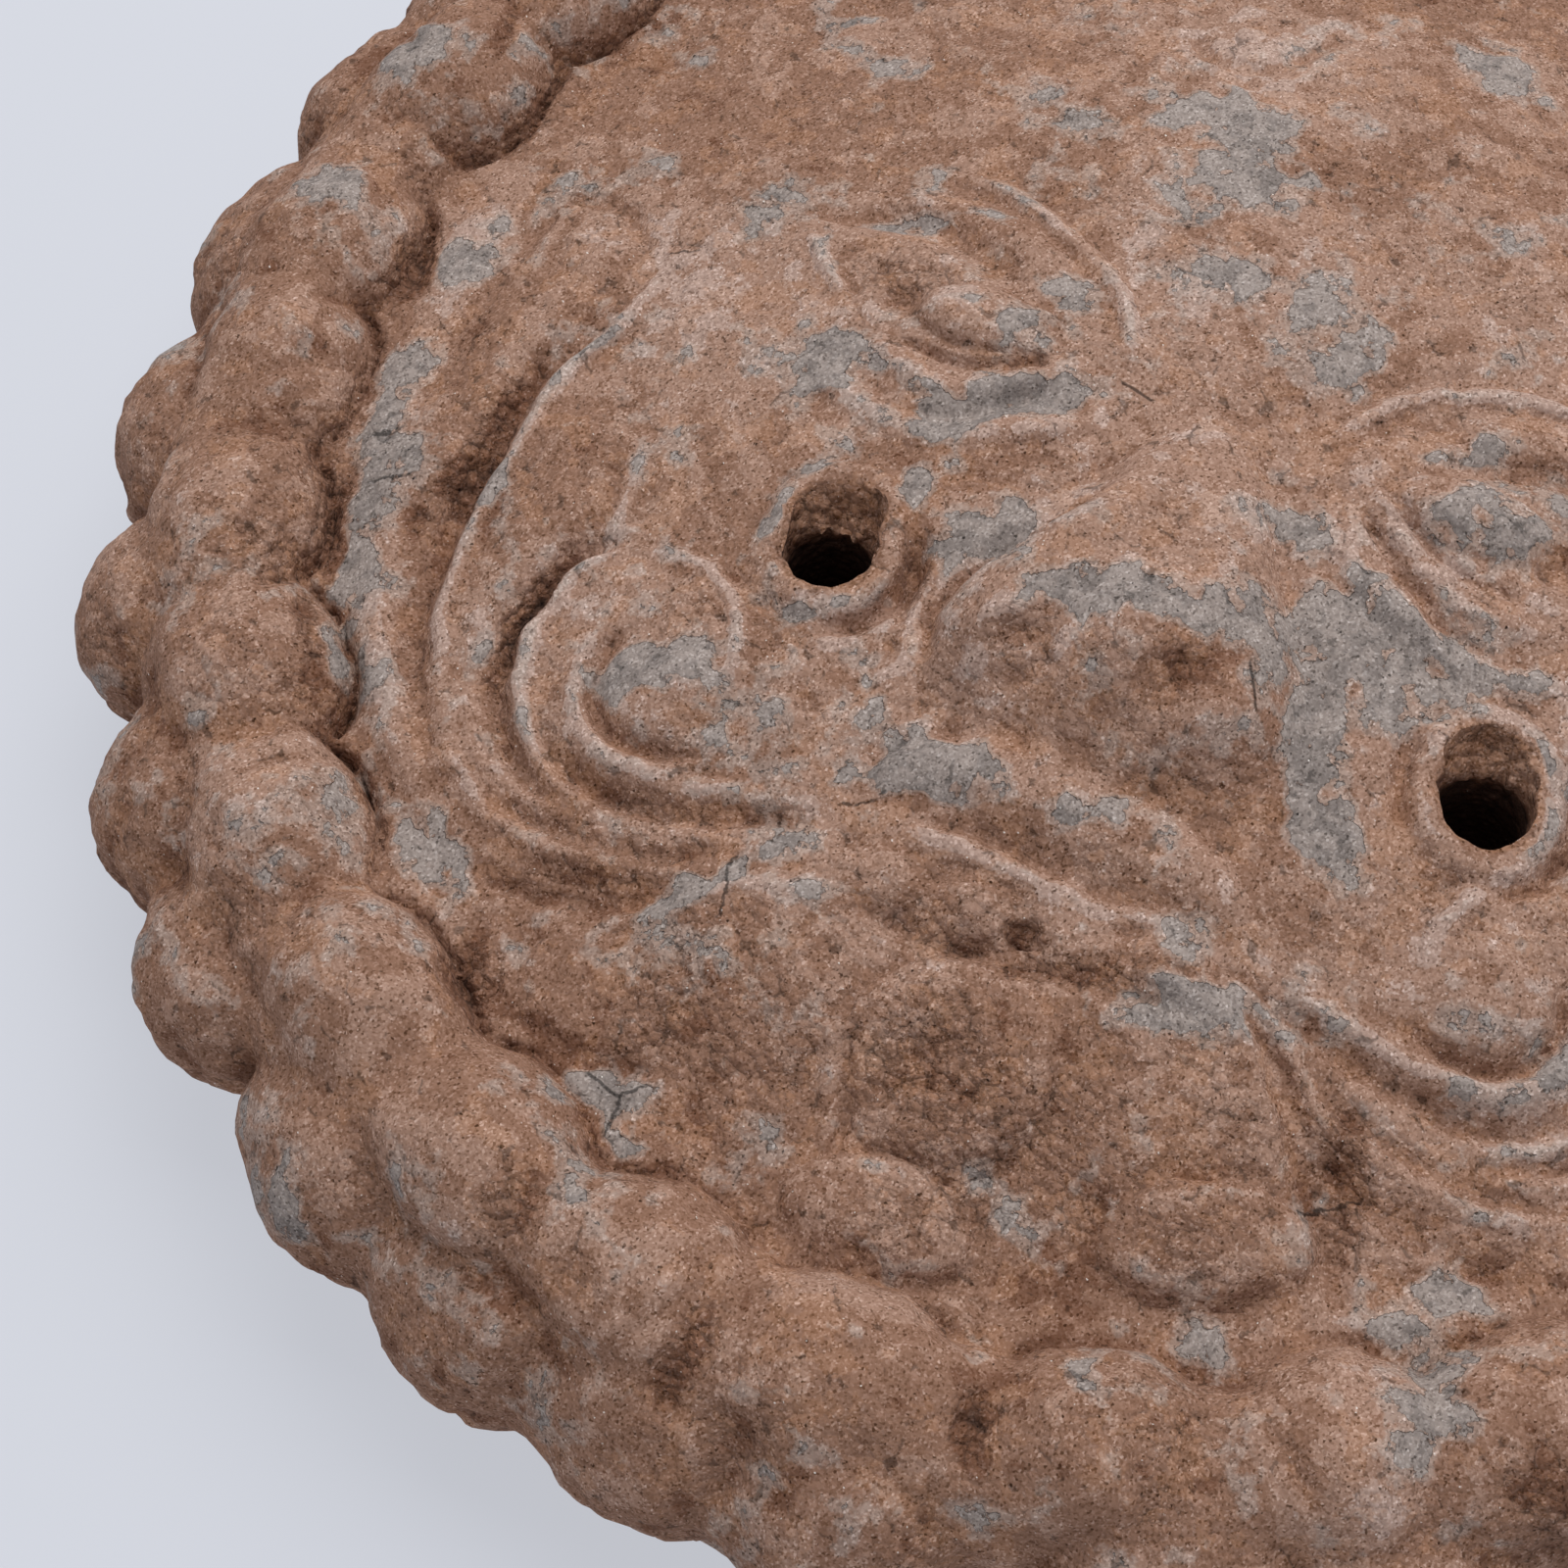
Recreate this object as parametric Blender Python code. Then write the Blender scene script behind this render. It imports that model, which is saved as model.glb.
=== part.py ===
# Round eaves tile of fired clay with a beast mask, two rows of beads and two nail holes.
# It lies on its flat back: the face looks up +Z and the mask's brow is towards +Y.
# The origin is the middle of the back.

import math

import bmesh
import bpy
import numpy as np

# The tile's own sizes, in metres
WALL_RADIUS = 0.0735  # side wall, between the side beads
RIM_THICKNESS = 0.0195  # from the back to the plain band round the mask
DOME_RISE = 0.0105  # from the band to the crown of the mask's ground
DOME_FULLNESS = 1.25  # power of the dome's section: lower is flatter on top
SHOULDER_RADIUS = 0.008  # rounding from the face to the wall
FOOT_FLARE = 0.0012  # how much wider the wall is at its foot
BACK_EDGE = 0.0015  # bevel round the back

BEAD_COUNT = 31  # in each row
FACE_BEAD_INSET = 0.0075  # from the wall in to the middles of the face beads
FACE_BEAD_LENGTH = 0.0115  # along a radius
FACE_BEAD_RISE = 0.0044
FACE_BEAD_START = 167.0  # degrees, where the first bead is
FACE_BEAD_VALLEY = 0.12  # share of the rise that is left between neighbours
SIDE_BEAD_DROP = 0.0070  # from the plain band down to the middles of the side beads
SIDE_BEAD_LENGTH = 0.0135  # up and down the wall
SIDE_BEAD_RISE = 0.0049
SIDE_BEAD_START = 170.5  # degrees
SIDE_BEAD_VALLEY = 0.05
BEAD_ROUNDNESS = 0.7  # power of a bead's section: lower is flatter on top
BEAD_WAIST = 0.75  # how long a row stays between two beads, as a share of a bead's length
BAND_WIDTH = 0.00175  # plain band between the face beads and the mask's ground

HOLE_DIAMETER = 0.0072
HOLE_SPACING = 0.0448  # between the middles of the two nail holes
HOLE_DROP = 0.0180  # from the tile's middle down to halfway between them
HOLE_OFFSET = 0.0014  # the pair sits this far to one side
HOLE_LEAN = 0.0022  # how much lower the right hole is than the left
HOLE_SIDES = 28
COLLAR_WIDTH = 0.0046  # worn lip round each hole
COLLAR_CREST = 0.3  # share of that width from the hole to the lip's crest
COLLAR_RISE = 0.0012

TEETH = 4

# What follows from those sizes
FACE_BEAD_CIRCLE = WALL_RADIUS - FACE_BEAD_INSET  # radius through the middles of the face beads
MASK_RADIUS = FACE_BEAD_CIRCLE - FACE_BEAD_LENGTH / 2 - BAND_WIDTH  # foot of the domed ground
SIDE_BEAD_LEVEL = RIM_THICKNESS - SIDE_BEAD_DROP

# The mask is free carving: its places, widths and heights are shares of CARVING_RADIUS
MASK_SHARE = 0.886  # the domed ground's foot, in those shares
CARVING_RADIUS = MASK_RADIUS / MASK_SHARE
CARVING_FADE = 0.05  # the carving dies out over this before it meets the beads
CARVING_LEFT = 0.86  # share of the carving's fresh height that wear has left
HIGHEST_CARVING = 0.2  # nothing is carved higher than this over the ground
LINE_END = 0.7  # a ridge's width at its ends, against its middle

# How finely the tile is cut
STEPS_PER_BEAD = 10
FACE_STEP = 0.0010  # between rings on the carved face, beads and wall
BACK_RINGS = 3
KEPT_FACES = 9600  # triangles left once flat stretches are thinned


def section():
    """Points (radius, height) from the middle of the face, over the wall, to the middle of the back."""
    shoulder = min(SHOULDER_RADIUS, WALL_RADIUS - MASK_RADIUS, RIM_THICKNESS - BACK_EDGE)
    points = []
    rings = round(MASK_RADIUS / FACE_STEP)
    for i in range(rings):
        share = i / rings
        points.append((share * MASK_RADIUS, RIM_THICKNESS + DOME_RISE * (1 - share**2) ** DOME_FULLNESS))
    flat_end = WALL_RADIUS - shoulder
    rings = max(1, round((flat_end - MASK_RADIUS) / FACE_STEP))
    for i in range(rings):
        points.append((MASK_RADIUS + (flat_end - MASK_RADIUS) * i / rings, RIM_THICKNESS))
    rings = max(1, round(shoulder * math.pi / 2 / FACE_STEP))
    for i in range(rings):
        turn = math.pi / 2 * i / rings
        points.append((
            flat_end + shoulder * math.sin(turn),
            RIM_THICKNESS - shoulder * (1 - math.cos(turn)),
        ))
    wall_top = RIM_THICKNESS - shoulder
    rings = max(1, round((wall_top - BACK_EDGE) / FACE_STEP))
    for i in range(rings + 1):
        share = i / rings
        points.append((WALL_RADIUS + FOOT_FLARE * share, wall_top - (wall_top - BACK_EDGE) * share))
    back_radius = WALL_RADIUS + FOOT_FLARE - BACK_EDGE
    for i in range(BACK_RINGS + 1):
        points.append((back_radius * (1 - i / BACK_RINGS), 0.0))
    return np.array(points)


def spun(points):
    """Closed mesh made by turning the section about Z."""
    mesh = bmesh.new()
    verts = [mesh.verts.new((radius, 0, height)) for radius, height in points]
    edges = [mesh.edges.new(pair) for pair in zip(verts, verts[1:])]
    bmesh.ops.spin(
        mesh, geom=verts + edges, axis=(0, 0, 1), angle=math.tau,
        steps=BEAD_COUNT * STEPS_PER_BEAD, use_merge=True,
    )
    bmesh.ops.remove_doubles(mesh, verts=mesh.verts, dist=1e-6)
    bmesh.ops.recalc_face_normals(mesh, faces=mesh.faces)
    return mesh


def bead_row(along, around, length, rise, start, valley):
    """Rise of a row of worn beads, where along runs down the section and around is an angle."""
    pitch = math.tau / BEAD_COUNT
    off_middle = (around - math.radians(start) + pitch / 2) % pitch - pitch / 2
    lump = valley + (1 - valley) * (1 - (2 * off_middle / pitch) ** 2) ** BEAD_ROUNDNESS
    half = length / 2 * (BEAD_WAIST + (1 - BEAD_WAIST) * lump)
    return rise * lump * np.clip(1 - (along / half) ** 2, 0, 1) ** BEAD_ROUNDNESS


class Carving:
    """Height of the mask's carving over its ground at each of many points.

    Every place, width and height given to it is a share of CARVING_RADIUS.
    """

    def __init__(self, across, up):
        self.across = across / CARVING_RADIUS
        self.up = up / CARVING_RADIUS
        self.height = np.zeros(len(across))

    def dome(self, middle, half, rise, turn=0.0, edge=1.5):
        """Oval rise, or a hollow where rise is negative; turn is in degrees."""
        x, y = self.across - middle[0], self.up - middle[1]
        c, s = math.cos(math.radians(turn)), math.sin(math.radians(turn))
        reach = ((c * x + s * y) / half[0]) ** 2 + ((c * y - s * x) / half[1]) ** 2
        self.height += rise * np.clip(1 - reach, 0, 1) ** edge

    def ridge(self, points, width, rise, fade=0.25):
        """Rounded ridge along a smooth line, or a groove where rise is negative.

        It is as wide as width at the middle, and dies out over the share fade at either end.
        """
        line = smooth_line(points)
        lengths = np.hypot(*np.diff(line, axis=0).T)
        walked = np.concatenate([[0], np.cumsum(lengths)]) / lengths.sum()
        nearest = np.full(len(self.across), np.inf)
        place = np.zeros(len(self.across))
        for i, length in enumerate(lengths):
            way = (line[i + 1] - line[i]) / length
            x, y = self.across - line[i][0], self.up - line[i][1]
            on = np.clip(x * way[0] + y * way[1], 0, length)
            distance = np.hypot(x - on * way[0], y - on * way[1])
            closer = distance < nearest
            nearest[closer] = distance[closer]
            place[closer] = (walked[i] + on / length * (walked[i + 1] - walked[i]))[closer]
        ends = np.clip(np.minimum(place, 1 - place) / fade, 0, 1)
        ends = ends * ends * (3 - 2 * ends)
        reach = np.clip(nearest / (width / 2 * (LINE_END + (1 - LINE_END) * ends)), 0, 1)
        self.height += rise * ends * (1 - reach**2) ** 2

    def both(self, points, width, rise, lean=0.03):
        """A ridge on each side of the face; the mask's right side sits lower by twice the lean."""
        for side in (-1, 1):
            self.ridge([(side * x, y - (1 + side) * lean * x) for x, y in points], width, rise)

    def pair(self, middle, half, rise, turn=0.0, edge=1.5, lean=0.03):
        """An oval rise or hollow on each side of the face."""
        for side in (-1, 1):
            place = (side * middle[0], middle[1] - (1 + side) * lean * middle[0])
            self.dome(place, half, rise, -side * turn, edge)


def smooth_line(points, steps=6):
    """Catmull-Rom curve through a few points."""
    points = np.array(points, float)
    ends = [2 * points[0] - points[1], *points, 2 * points[-1] - points[-2]]
    line = [points[0]]
    for a, b, c, d in zip(ends, ends[1:], ends[2:], ends[3:]):
        for t in np.linspace(0, 1, steps + 1)[1:]:
            line.append(0.5 * (
                2 * b + (c - a) * t + (2 * a - 5 * b + 4 * c - d) * t**2 + (3 * b - a - 3 * c + d) * t**3
            ))
    return np.array(line)


def carve_eyes(mask):
    """Slanting almond eyes under a heavy lid and brow, with two folds below."""
    lean = 0.10
    mask.pair((0.29, 0.02), (0.17, 0.09), 0.020, turn=14, lean=lean)
    mask.pair((0.28, 0.03), (0.085, 0.055), 0.018, turn=14, lean=lean)
    mask.both([(0.54, 0.13), (0.38, 0.135), (0.25, 0.075), (0.15, 0.04)], 0.065, -0.026, lean=lean)
    mask.both([(0.46, 0.17), (0.33, 0.17), (0.20, 0.11), (0.14, 0.05)], 0.080, 0.014, lean=lean)
    mask.both([(0.40, 0.215), (0.27, 0.20), (0.16, 0.12), (0.10, 0.01)], 0.075, 0.024, lean=lean)
    mask.both([(0.41, 0.05), (0.35, -0.01), (0.26, -0.03), (0.17, 0.0)], 0.055, -0.020, lean=lean)
    mask.both([(0.48, 0.10), (0.39, -0.01), (0.28, -0.06), (0.13, -0.02)], 0.055, 0.020, lean=lean)
    mask.both([(0.43, -0.04), (0.36, -0.085), (0.25, -0.10), (0.14, -0.05)], 0.050, -0.014, lean=lean)
    mask.both([(0.42, -0.08), (0.33, -0.13), (0.22, -0.125), (0.10, -0.05)], 0.060, 0.016, lean=lean)


def carve_nose(mask):
    """Broad nose, narrow at the bridge, with round wings and hollow nostrils."""
    mask.ridge([(0.01, 0.04), (0.01, -0.10), (0.0, -0.25)], 0.26, 0.050)
    mask.dome((0.0, -0.25), (0.20, 0.16), 0.050)
    mask.pair((0.115, -0.305), (0.090, 0.110), 0.040, turn=20)
    mask.pair((0.085, -0.345), (0.050, 0.050), -0.036, lean=-0.05)
    mask.ridge([(-0.06, -0.375), (0.0, -0.365), (0.06, -0.37)], 0.08, 0.014)
    mask.both([(0.08, -0.20), (0.15, -0.25), (0.19, -0.34)], 0.055, 0.018)
    mask.both([(0.17, -0.28), (0.185, -0.34), (0.13, -0.405)], 0.050, -0.014)
    mask.both([(0.09, 0.02), (0.11, -0.10), (0.14, -0.19)], 0.080, -0.016)


def carve_mouth(mask):
    """Full upper lip, a band of worn teeth, the tongue, the jowls and the chin."""
    mask.ridge([(-0.19, -0.485), (-0.12, -0.45), (0.0, -0.44), (0.12, -0.455), (0.19, -0.495)], 0.115, 0.040)
    mask.ridge([(-0.18, -0.505), (0.0, -0.49), (0.18, -0.51)], 0.050, -0.020)
    mask.ridge([(-0.30, -0.525), (-0.10, -0.51), (0.10, -0.517), (0.24, -0.545)], 0.060, 0.022)
    mask.ridge([(-0.20, -0.575), (0.0, -0.585), (0.19, -0.575)], 0.080, -0.020)
    for k in range(TEETH):
        mask.dome((-0.145 + 0.29 * k / (TEETH - 1), -0.56), (0.062, 0.050), 0.018)
    mask.dome((-0.01, -0.715), (0.110, 0.095), 0.048, edge=1.2)
    mask.dome((-0.01, -0.86), (0.110, 0.065), 0.044, edge=1.2)
    mask.ridge([(-0.12, -0.795), (0.0, -0.80), (0.10, -0.785)], 0.055, -0.020)
    mask.ridge([(-0.115, -0.65), (-0.125, -0.72), (-0.11, -0.80)], 0.050, -0.014)
    mask.dome((0.205, -0.73), (0.165, 0.150), 0.046, turn=-25, edge=1.1)
    mask.dome((0.265, -0.785), (0.090, 0.055), 0.018, turn=14)
    mask.dome((-0.225, -0.72), (0.130, 0.145), 0.036, edge=1.1)
    mask.dome((-0.385, -0.725), (0.090, 0.060), 0.026)
    mask.ridge([(-0.44, -0.785), (-0.36, -0.805), (-0.28, -0.80)], 0.050, -0.016)
    mask.ridge([(0.20, -0.545), (0.30, -0.63), (0.37, -0.72), (0.385, -0.79)], 0.070, -0.030)


def carve_mane(mask):
    """Cheek spirals, and the locks that hang outside them and curl in below."""
    rim = [(0.83, 0.12), (0.83, -0.18), (0.78, -0.42), (0.68, -0.58), (0.54, -0.71)]
    outer_lock = [(0.69, 0.11), (0.76, -0.08), (0.76, -0.32), (0.65, -0.54), (0.44, -0.66)]
    inner_lock = [(0.605, -0.17), (0.635, -0.33), (0.58, -0.52), (0.42, -0.60), (0.24, -0.56)]
    mask.both(rim, 0.085, 0.016)
    mask.both(outer_lock, 0.105, 0.034)
    mask.both(inner_lock, 0.130, 0.034)
    mask.both([(0.655, -0.02), (0.69, -0.18), (0.70, -0.33), (0.65, -0.50)], 0.055, 0.018)
    mask.both([(0.69, -0.06), (0.73, -0.22), (0.715, -0.40), (0.62, -0.55)], 0.065, -0.046)
    mask.both([(0.63, -0.53), (0.56, -0.585), (0.45, -0.61), (0.33, -0.59)], 0.065, -0.024)
    mask.pair((0.465, -0.42), (0.130, 0.135), 0.022, edge=0.8)
    mask.both([(0.57, -0.27), (0.605, -0.40), (0.55, -0.525), (0.42, -0.563), (0.30, -0.55)], 0.065, -0.040)
    mask.both([(0.56, -0.36), (0.50, -0.30), (0.40, -0.32), (0.355, -0.43)], 0.055, 0.016)
    mask.both([(0.46, -0.36), (0.505, -0.44), (0.43, -0.505), (0.31, -0.495)], 0.060, -0.026)
    mask.pair((0.425, -0.43), (0.065, 0.055), 0.010, edge=1.0)


def hole_middles():
    return [(HOLE_OFFSET + side * HOLE_SPACING / 2, -HOLE_DROP - side * HOLE_LEAN / 2) for side in (-1, 1)]


def collars(across, up):
    """Rise of the worn lip round each nail hole."""
    rise = np.zeros(len(across))
    for x, y in hole_middles():
        from_crest = np.hypot(across - x, up - y) - HOLE_DIAMETER / 2 - COLLAR_WIDTH * COLLAR_CREST
        fall = COLLAR_WIDTH * (1 - COLLAR_CREST)
        rise += COLLAR_RISE * np.clip(1 - (from_crest / fall) ** 2, 0, 1)
    return rise


def carve(mesh, points):
    """Moves the turned blank's points out to the beads, the collars and the mask."""
    ways = np.gradient(points, axis=0)
    ways /= np.hypot(*ways.T)[:, None]
    outward = np.column_stack([-ways[:, 1], ways[:, 0]])
    walked = np.concatenate([[0], np.cumsum(np.hypot(*np.diff(points, axis=0).T))])
    widest = np.argmax(points[:, 0])
    face_middle = np.interp(FACE_BEAD_CIRCLE, points[: widest + 1, 0], walked[: widest + 1])
    falling = (points[:, 0] >= MASK_RADIUS) & (points[:, 1] > 0)
    side_middle = np.interp(-SIDE_BEAD_LEVEL, -points[falling, 1], walked[falling])

    verts = list(mesh.verts)
    places = np.array([vert.co for vert in verts])
    radius = np.hypot(places[:, 0], places[:, 1])
    around = np.arctan2(places[:, 1], places[:, 0])
    ring = np.argmin(
        np.hypot(radius[:, None] - points[None, :, 0], places[:, 2][:, None] - points[None, :, 1]), axis=1
    )
    face_row = bead_row(
        walked[ring] - face_middle, around,
        FACE_BEAD_LENGTH, FACE_BEAD_RISE, FACE_BEAD_START, FACE_BEAD_VALLEY,
    )
    side_row = bead_row(
        walked[ring] - side_middle, around,
        SIDE_BEAD_LENGTH, SIDE_BEAD_RISE, SIDE_BEAD_START, SIDE_BEAD_VALLEY,
    )
    rise = np.maximum(face_row, side_row)
    rise[places[:, 2] < BACK_EDGE / 2] = 0

    mask = Carving(places[:, 0], places[:, 1])
    carve_mane(mask)
    carve_eyes(mask)
    carve_nose(mask)
    carve_mouth(mask)
    lift = mask.height * CARVING_LEFT * CARVING_RADIUS + collars(places[:, 0], places[:, 1])
    inner_edge = FACE_BEAD_CIRCLE - FACE_BEAD_LENGTH / 2
    lift *= np.clip((inner_edge - radius) / (CARVING_FADE * CARVING_RADIUS), 0, 1)
    lift[places[:, 2] < RIM_THICKNESS / 2] = 0

    places[:, 0] += outward[ring, 0] * rise * np.cos(around)
    places[:, 1] += outward[ring, 0] * rise * np.sin(around)
    places[:, 2] += outward[ring, 1] * rise + lift
    for vert, place in zip(verts, places):
        vert.co = place


def clay():
    material = bpy.data.materials.new("fired clay")
    material.use_nodes = True
    shader = material.node_tree.nodes["Principled BSDF"]
    shader.inputs["Base Color"].default_value = (0.28, 0.165, 0.115, 1)
    shader.inputs["Roughness"].default_value = 0.92
    shader.inputs["Metallic"].default_value = 0.0
    return material


def make_tile():
    points = section()
    mesh = spun(points)
    carve(mesh, points)
    bmesh.ops.triangulate(mesh, faces=mesh.faces)
    data = bpy.data.meshes.new("eaves_tile")
    mesh.to_mesh(data)
    mesh.free()
    tile = bpy.data.objects.new("eaves_tile", data)
    bpy.context.scene.collection.objects.link(tile)
    tile.data.materials.append(clay())
    thin = tile.modifiers.new("fewer faces where it is flat", "DECIMATE")
    thin.ratio = KEPT_FACES / len(data.polygons)
    for name, (x, y) in zip(("left", "right"), hole_middles()):
        cut = tile.modifiers.new(f"{name} nail hole", "BOOLEAN")
        cut.operation = "DIFFERENCE"
        cut.solver = "EXACT"
        cut.object = nail_hole(name, x, y)
    data.shade_smooth()
    return tile


def nail_hole(name, x, y):
    """Round cutter that runs past the back and past the highest carving."""
    past = RIM_THICKNESS + DOME_RISE + HIGHEST_CARVING * CARVING_RADIUS
    mesh = bmesh.new()
    bmesh.ops.create_cone(
        mesh, cap_ends=True, segments=HOLE_SIDES, radius1=HOLE_DIAMETER / 2, radius2=HOLE_DIAMETER / 2,
        depth=2 * past,
    )
    data = bpy.data.meshes.new(f"{name}_hole_cutter")
    mesh.to_mesh(data)
    mesh.free()
    cutter = bpy.data.objects.new(f"{name}_hole_cutter", data)
    cutter.location = (x, y, 0)
    cutter.hide_render = True
    cutter.display_type = "WIRE"
    bpy.context.scene.collection.objects.link(cutter)
    return cutter


for old in list(bpy.data.objects):
    bpy.data.objects.remove(old)
make_tile()
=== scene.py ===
import math

import bmesh
import bpy
import numpy as np
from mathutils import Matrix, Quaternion, Vector


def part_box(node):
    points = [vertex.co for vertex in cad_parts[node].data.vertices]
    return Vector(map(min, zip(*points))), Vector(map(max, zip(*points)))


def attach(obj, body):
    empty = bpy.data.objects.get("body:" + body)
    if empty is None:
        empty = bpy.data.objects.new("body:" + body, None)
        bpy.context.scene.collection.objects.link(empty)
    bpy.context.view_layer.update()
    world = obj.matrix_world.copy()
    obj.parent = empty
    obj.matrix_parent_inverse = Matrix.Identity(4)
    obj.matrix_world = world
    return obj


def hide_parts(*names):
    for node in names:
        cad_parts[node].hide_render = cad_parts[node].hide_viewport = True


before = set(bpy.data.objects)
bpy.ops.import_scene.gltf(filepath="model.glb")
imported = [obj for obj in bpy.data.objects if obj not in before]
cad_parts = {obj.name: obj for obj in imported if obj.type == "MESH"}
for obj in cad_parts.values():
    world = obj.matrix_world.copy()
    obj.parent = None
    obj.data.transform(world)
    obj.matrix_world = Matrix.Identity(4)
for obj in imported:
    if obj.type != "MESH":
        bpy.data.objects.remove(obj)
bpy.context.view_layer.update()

mm = 0.001
low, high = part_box("eaves_tile")
unit = (high.x - low.x + high.y - low.y) / 4 / 1.186  # radius of the face bead circle
print("tile unit", round(unit / mm, 2), "mm")


# Camera

cameraSetup = {
    "place": (0.02005, -0.11828, 0.19431),
    "lookAt": (-0.01808, -0.03213, 0.023),
    "roll": -1.94,  # degrees
    "lens": 70.13, "film": 36, "nearest": 0.01,
}


def makeCamera(setup):
    data = bpy.data.cameras.new("camera")
    data.lens = setup["lens"]
    data.sensor_width = setup["film"]
    data.clip_start = setup["nearest"]
    camera = bpy.data.objects.new("camera", data)
    camera.location = setup["place"]
    look = Vector(setup["lookAt"]) - Vector(setup["place"])
    camera.rotation_mode = "QUATERNION"
    roll = Quaternion((0, 0, 1), math.radians(setup["roll"]))
    camera.rotation_quaternion = look.to_track_quat("-Z", "Y") @ roll
    bpy.context.scene.collection.objects.link(camera)
    bpy.context.scene.camera = camera


makeCamera(cameraSetup)


# Noise for the clay's own roughness

noiseSeed = 11
draw = np.random.default_rng(noiseSeed)
latticeOrder = draw.permutation(256)
latticeWays = draw.normal(size=(256, 3))
latticeWays /= np.linalg.norm(latticeWays, axis=1)[:, None]


def noiseAt(points, size, shift=0.0):
    # soft lumps about size across, between -1 and 1
    spot = points / size + shift
    cell = np.floor(spot).astype(int)
    part = spot - cell
    ease = part**3 * (part * (part * 6 - 15) + 10)
    total = np.zeros(len(points))
    for corner in np.ndindex(2, 2, 2):
        a, b, c = (cell + corner).T
        pick = latticeOrder[(latticeOrder[(latticeOrder[a & 255] + b) & 255] + c) & 255]
        weight = np.abs(1 - np.array(corner) - ease).prod(axis=1)
        total += ((part - corner) * latticeWays[pick]).sum(axis=1) * weight
    return total * 1.6


def crumbsAt(points, size, shift=0.0):
    # distance to the nearest of many scattered grains, 0 at a grain and about 1 between them
    spot = points / size + shift
    cell = np.floor(spot).astype(int)
    nearest = np.full(len(points), 9.0)
    for step in np.ndindex(3, 3, 3):
        near = cell + step - 1
        a, b, c = near.T
        pick = latticeOrder[(latticeOrder[(latticeOrder[a & 255] + b) & 255] + c) & 255]
        grain = near + 0.5 + 0.45 * latticeWays[pick]
        nearest = np.minimum(nearest, ((spot - grain) ** 2).sum(axis=1))
    return np.sqrt(nearest)


def layered(points, steps, start=0.0):
    # start and layers of noise, each (strength, size in millimetres, shift)
    total = start
    for strength, size, shift in steps:
        total = total + strength * noiseAt(points, size * mm, shift)
    return total


def drift(points, size, reach, shift):
    # how far each point wanders along two ways; size and reach in millimetres
    ways = [noiseAt(points, size * mm, shift + k * 5.3) for k in range(2)]
    return np.stack(ways, axis=1) * reach * mm


# Relief in shares of unit

faceLean = 0.03


class Relief:
    def __init__(self, x, y):
        self.x = x
        self.y = y
        self.height = np.zeros(len(x))
        self.rubbed = np.zeros(len(x))  # where worn edges show pale

    def mound(self, middle, half, rise, turn=0.0, power=1.5):
        reach = max(half)
        near = np.flatnonzero((abs(self.x - middle[0]) < reach) & (abs(self.y - middle[1]) < reach))
        x, y = self.x[near] - middle[0], self.y[near] - middle[1]
        c, s = math.cos(math.radians(turn)), math.sin(math.radians(turn))
        far = ((c * x + s * y) / half[0]) ** 2 + ((c * y - s * x) / half[1]) ** 2
        self.height[near] += rise * np.clip(1 - far, 0, 1) ** power

    def follow(self, points, reach):
        # who is near the line, how far to its left, and how far along it
        line = smoothLine(points)
        lowest, highest = line.min(axis=0) - reach, line.max(axis=0) + reach
        near = np.flatnonzero(
            (self.x > lowest[0]) & (self.x < highest[0]) & (self.y > lowest[1]) & (self.y < highest[1])
        )
        px, py = self.x[near], self.y[near]
        spans = np.hypot(*np.diff(line, axis=0).T)
        walked = np.concatenate([[0], np.cumsum(spans)]) / spans.sum()
        nearest = np.full(len(near), 9.0)
        left = np.zeros(len(near))
        place = np.zeros(len(near))
        for i, span in enumerate(spans):
            way = (line[i + 1] - line[i]) / span
            x, y = px - line[i][0], py - line[i][1]
            on = np.clip(x * way[0] + y * way[1], 0, span)
            off = np.hypot(x - on * way[0], y - on * way[1])
            closer = off < nearest
            nearest[closer] = off[closer]
            left[closer] = (off * np.where(way[0] * y - way[1] * x > 0, 1, -1))[closer]
            place[closer] = (walked[i] + on / span * (walked[i + 1] - walked[i]))[closer]
        return near, left, place

    def sweep(self, points, section, fade=(0.2, 0.2), rub=0.0):
        # a section of (to the left, height) pairs drawn along a line
        near, left, place = self.follow(points, max(abs(offset) for offset, _ in section))
        curve = smoothLine(section)
        shape = np.interp(left, curve[:, 0], curve[:, 1], left=0, right=0) * easeEnds(place, fade)
        self.height[near] += shape
        if rub:
            worn = rub * np.clip(shape / curve[:, 1].max(), 0, 1)
            self.rubbed[near] = np.maximum(self.rubbed[near], worn)

    def stroke(self, points, width, rise, fade=(0.25, 0.25), flat=2.0, rub=0.0):
        # an even ridge or groove; width may be a list along the line
        widths = np.atleast_1d(width)
        near, left, place = self.follow(points, widths.max() / 2)
        wide = np.interp(place, np.linspace(0, 1, len(widths)), widths)
        ends = easeEnds(place, fade)
        far = np.clip(abs(left) / (wide / 2 * (0.6 + 0.4 * ends)), 0, 1)
        shape = ends * (1 - far**flat) ** 2
        self.height[near] += rise * shape
        self.rubbed[near] = np.maximum(self.rubbed[near], rub * shape)

    def sweepPair(self, points, section, lean=faceLean, **more):
        for side in (1, -1):
            turned = sorted((side * offset, height) for offset, height in section)
            self.sweep(mirrored(points, side, lean), turned, **more)

    def strokePair(self, points, width, rise, lean=faceLean, **more):
        for side in (1, -1):
            self.stroke(mirrored(points, side, lean), width, rise, **more)

    def moundPair(self, middle, half, rise, turn=0.0, lean=faceLean, power=1.5):
        for side in (1, -1):
            self.mound(mirrored([middle], side, lean)[0], half, rise, side * turn, power)


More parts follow.
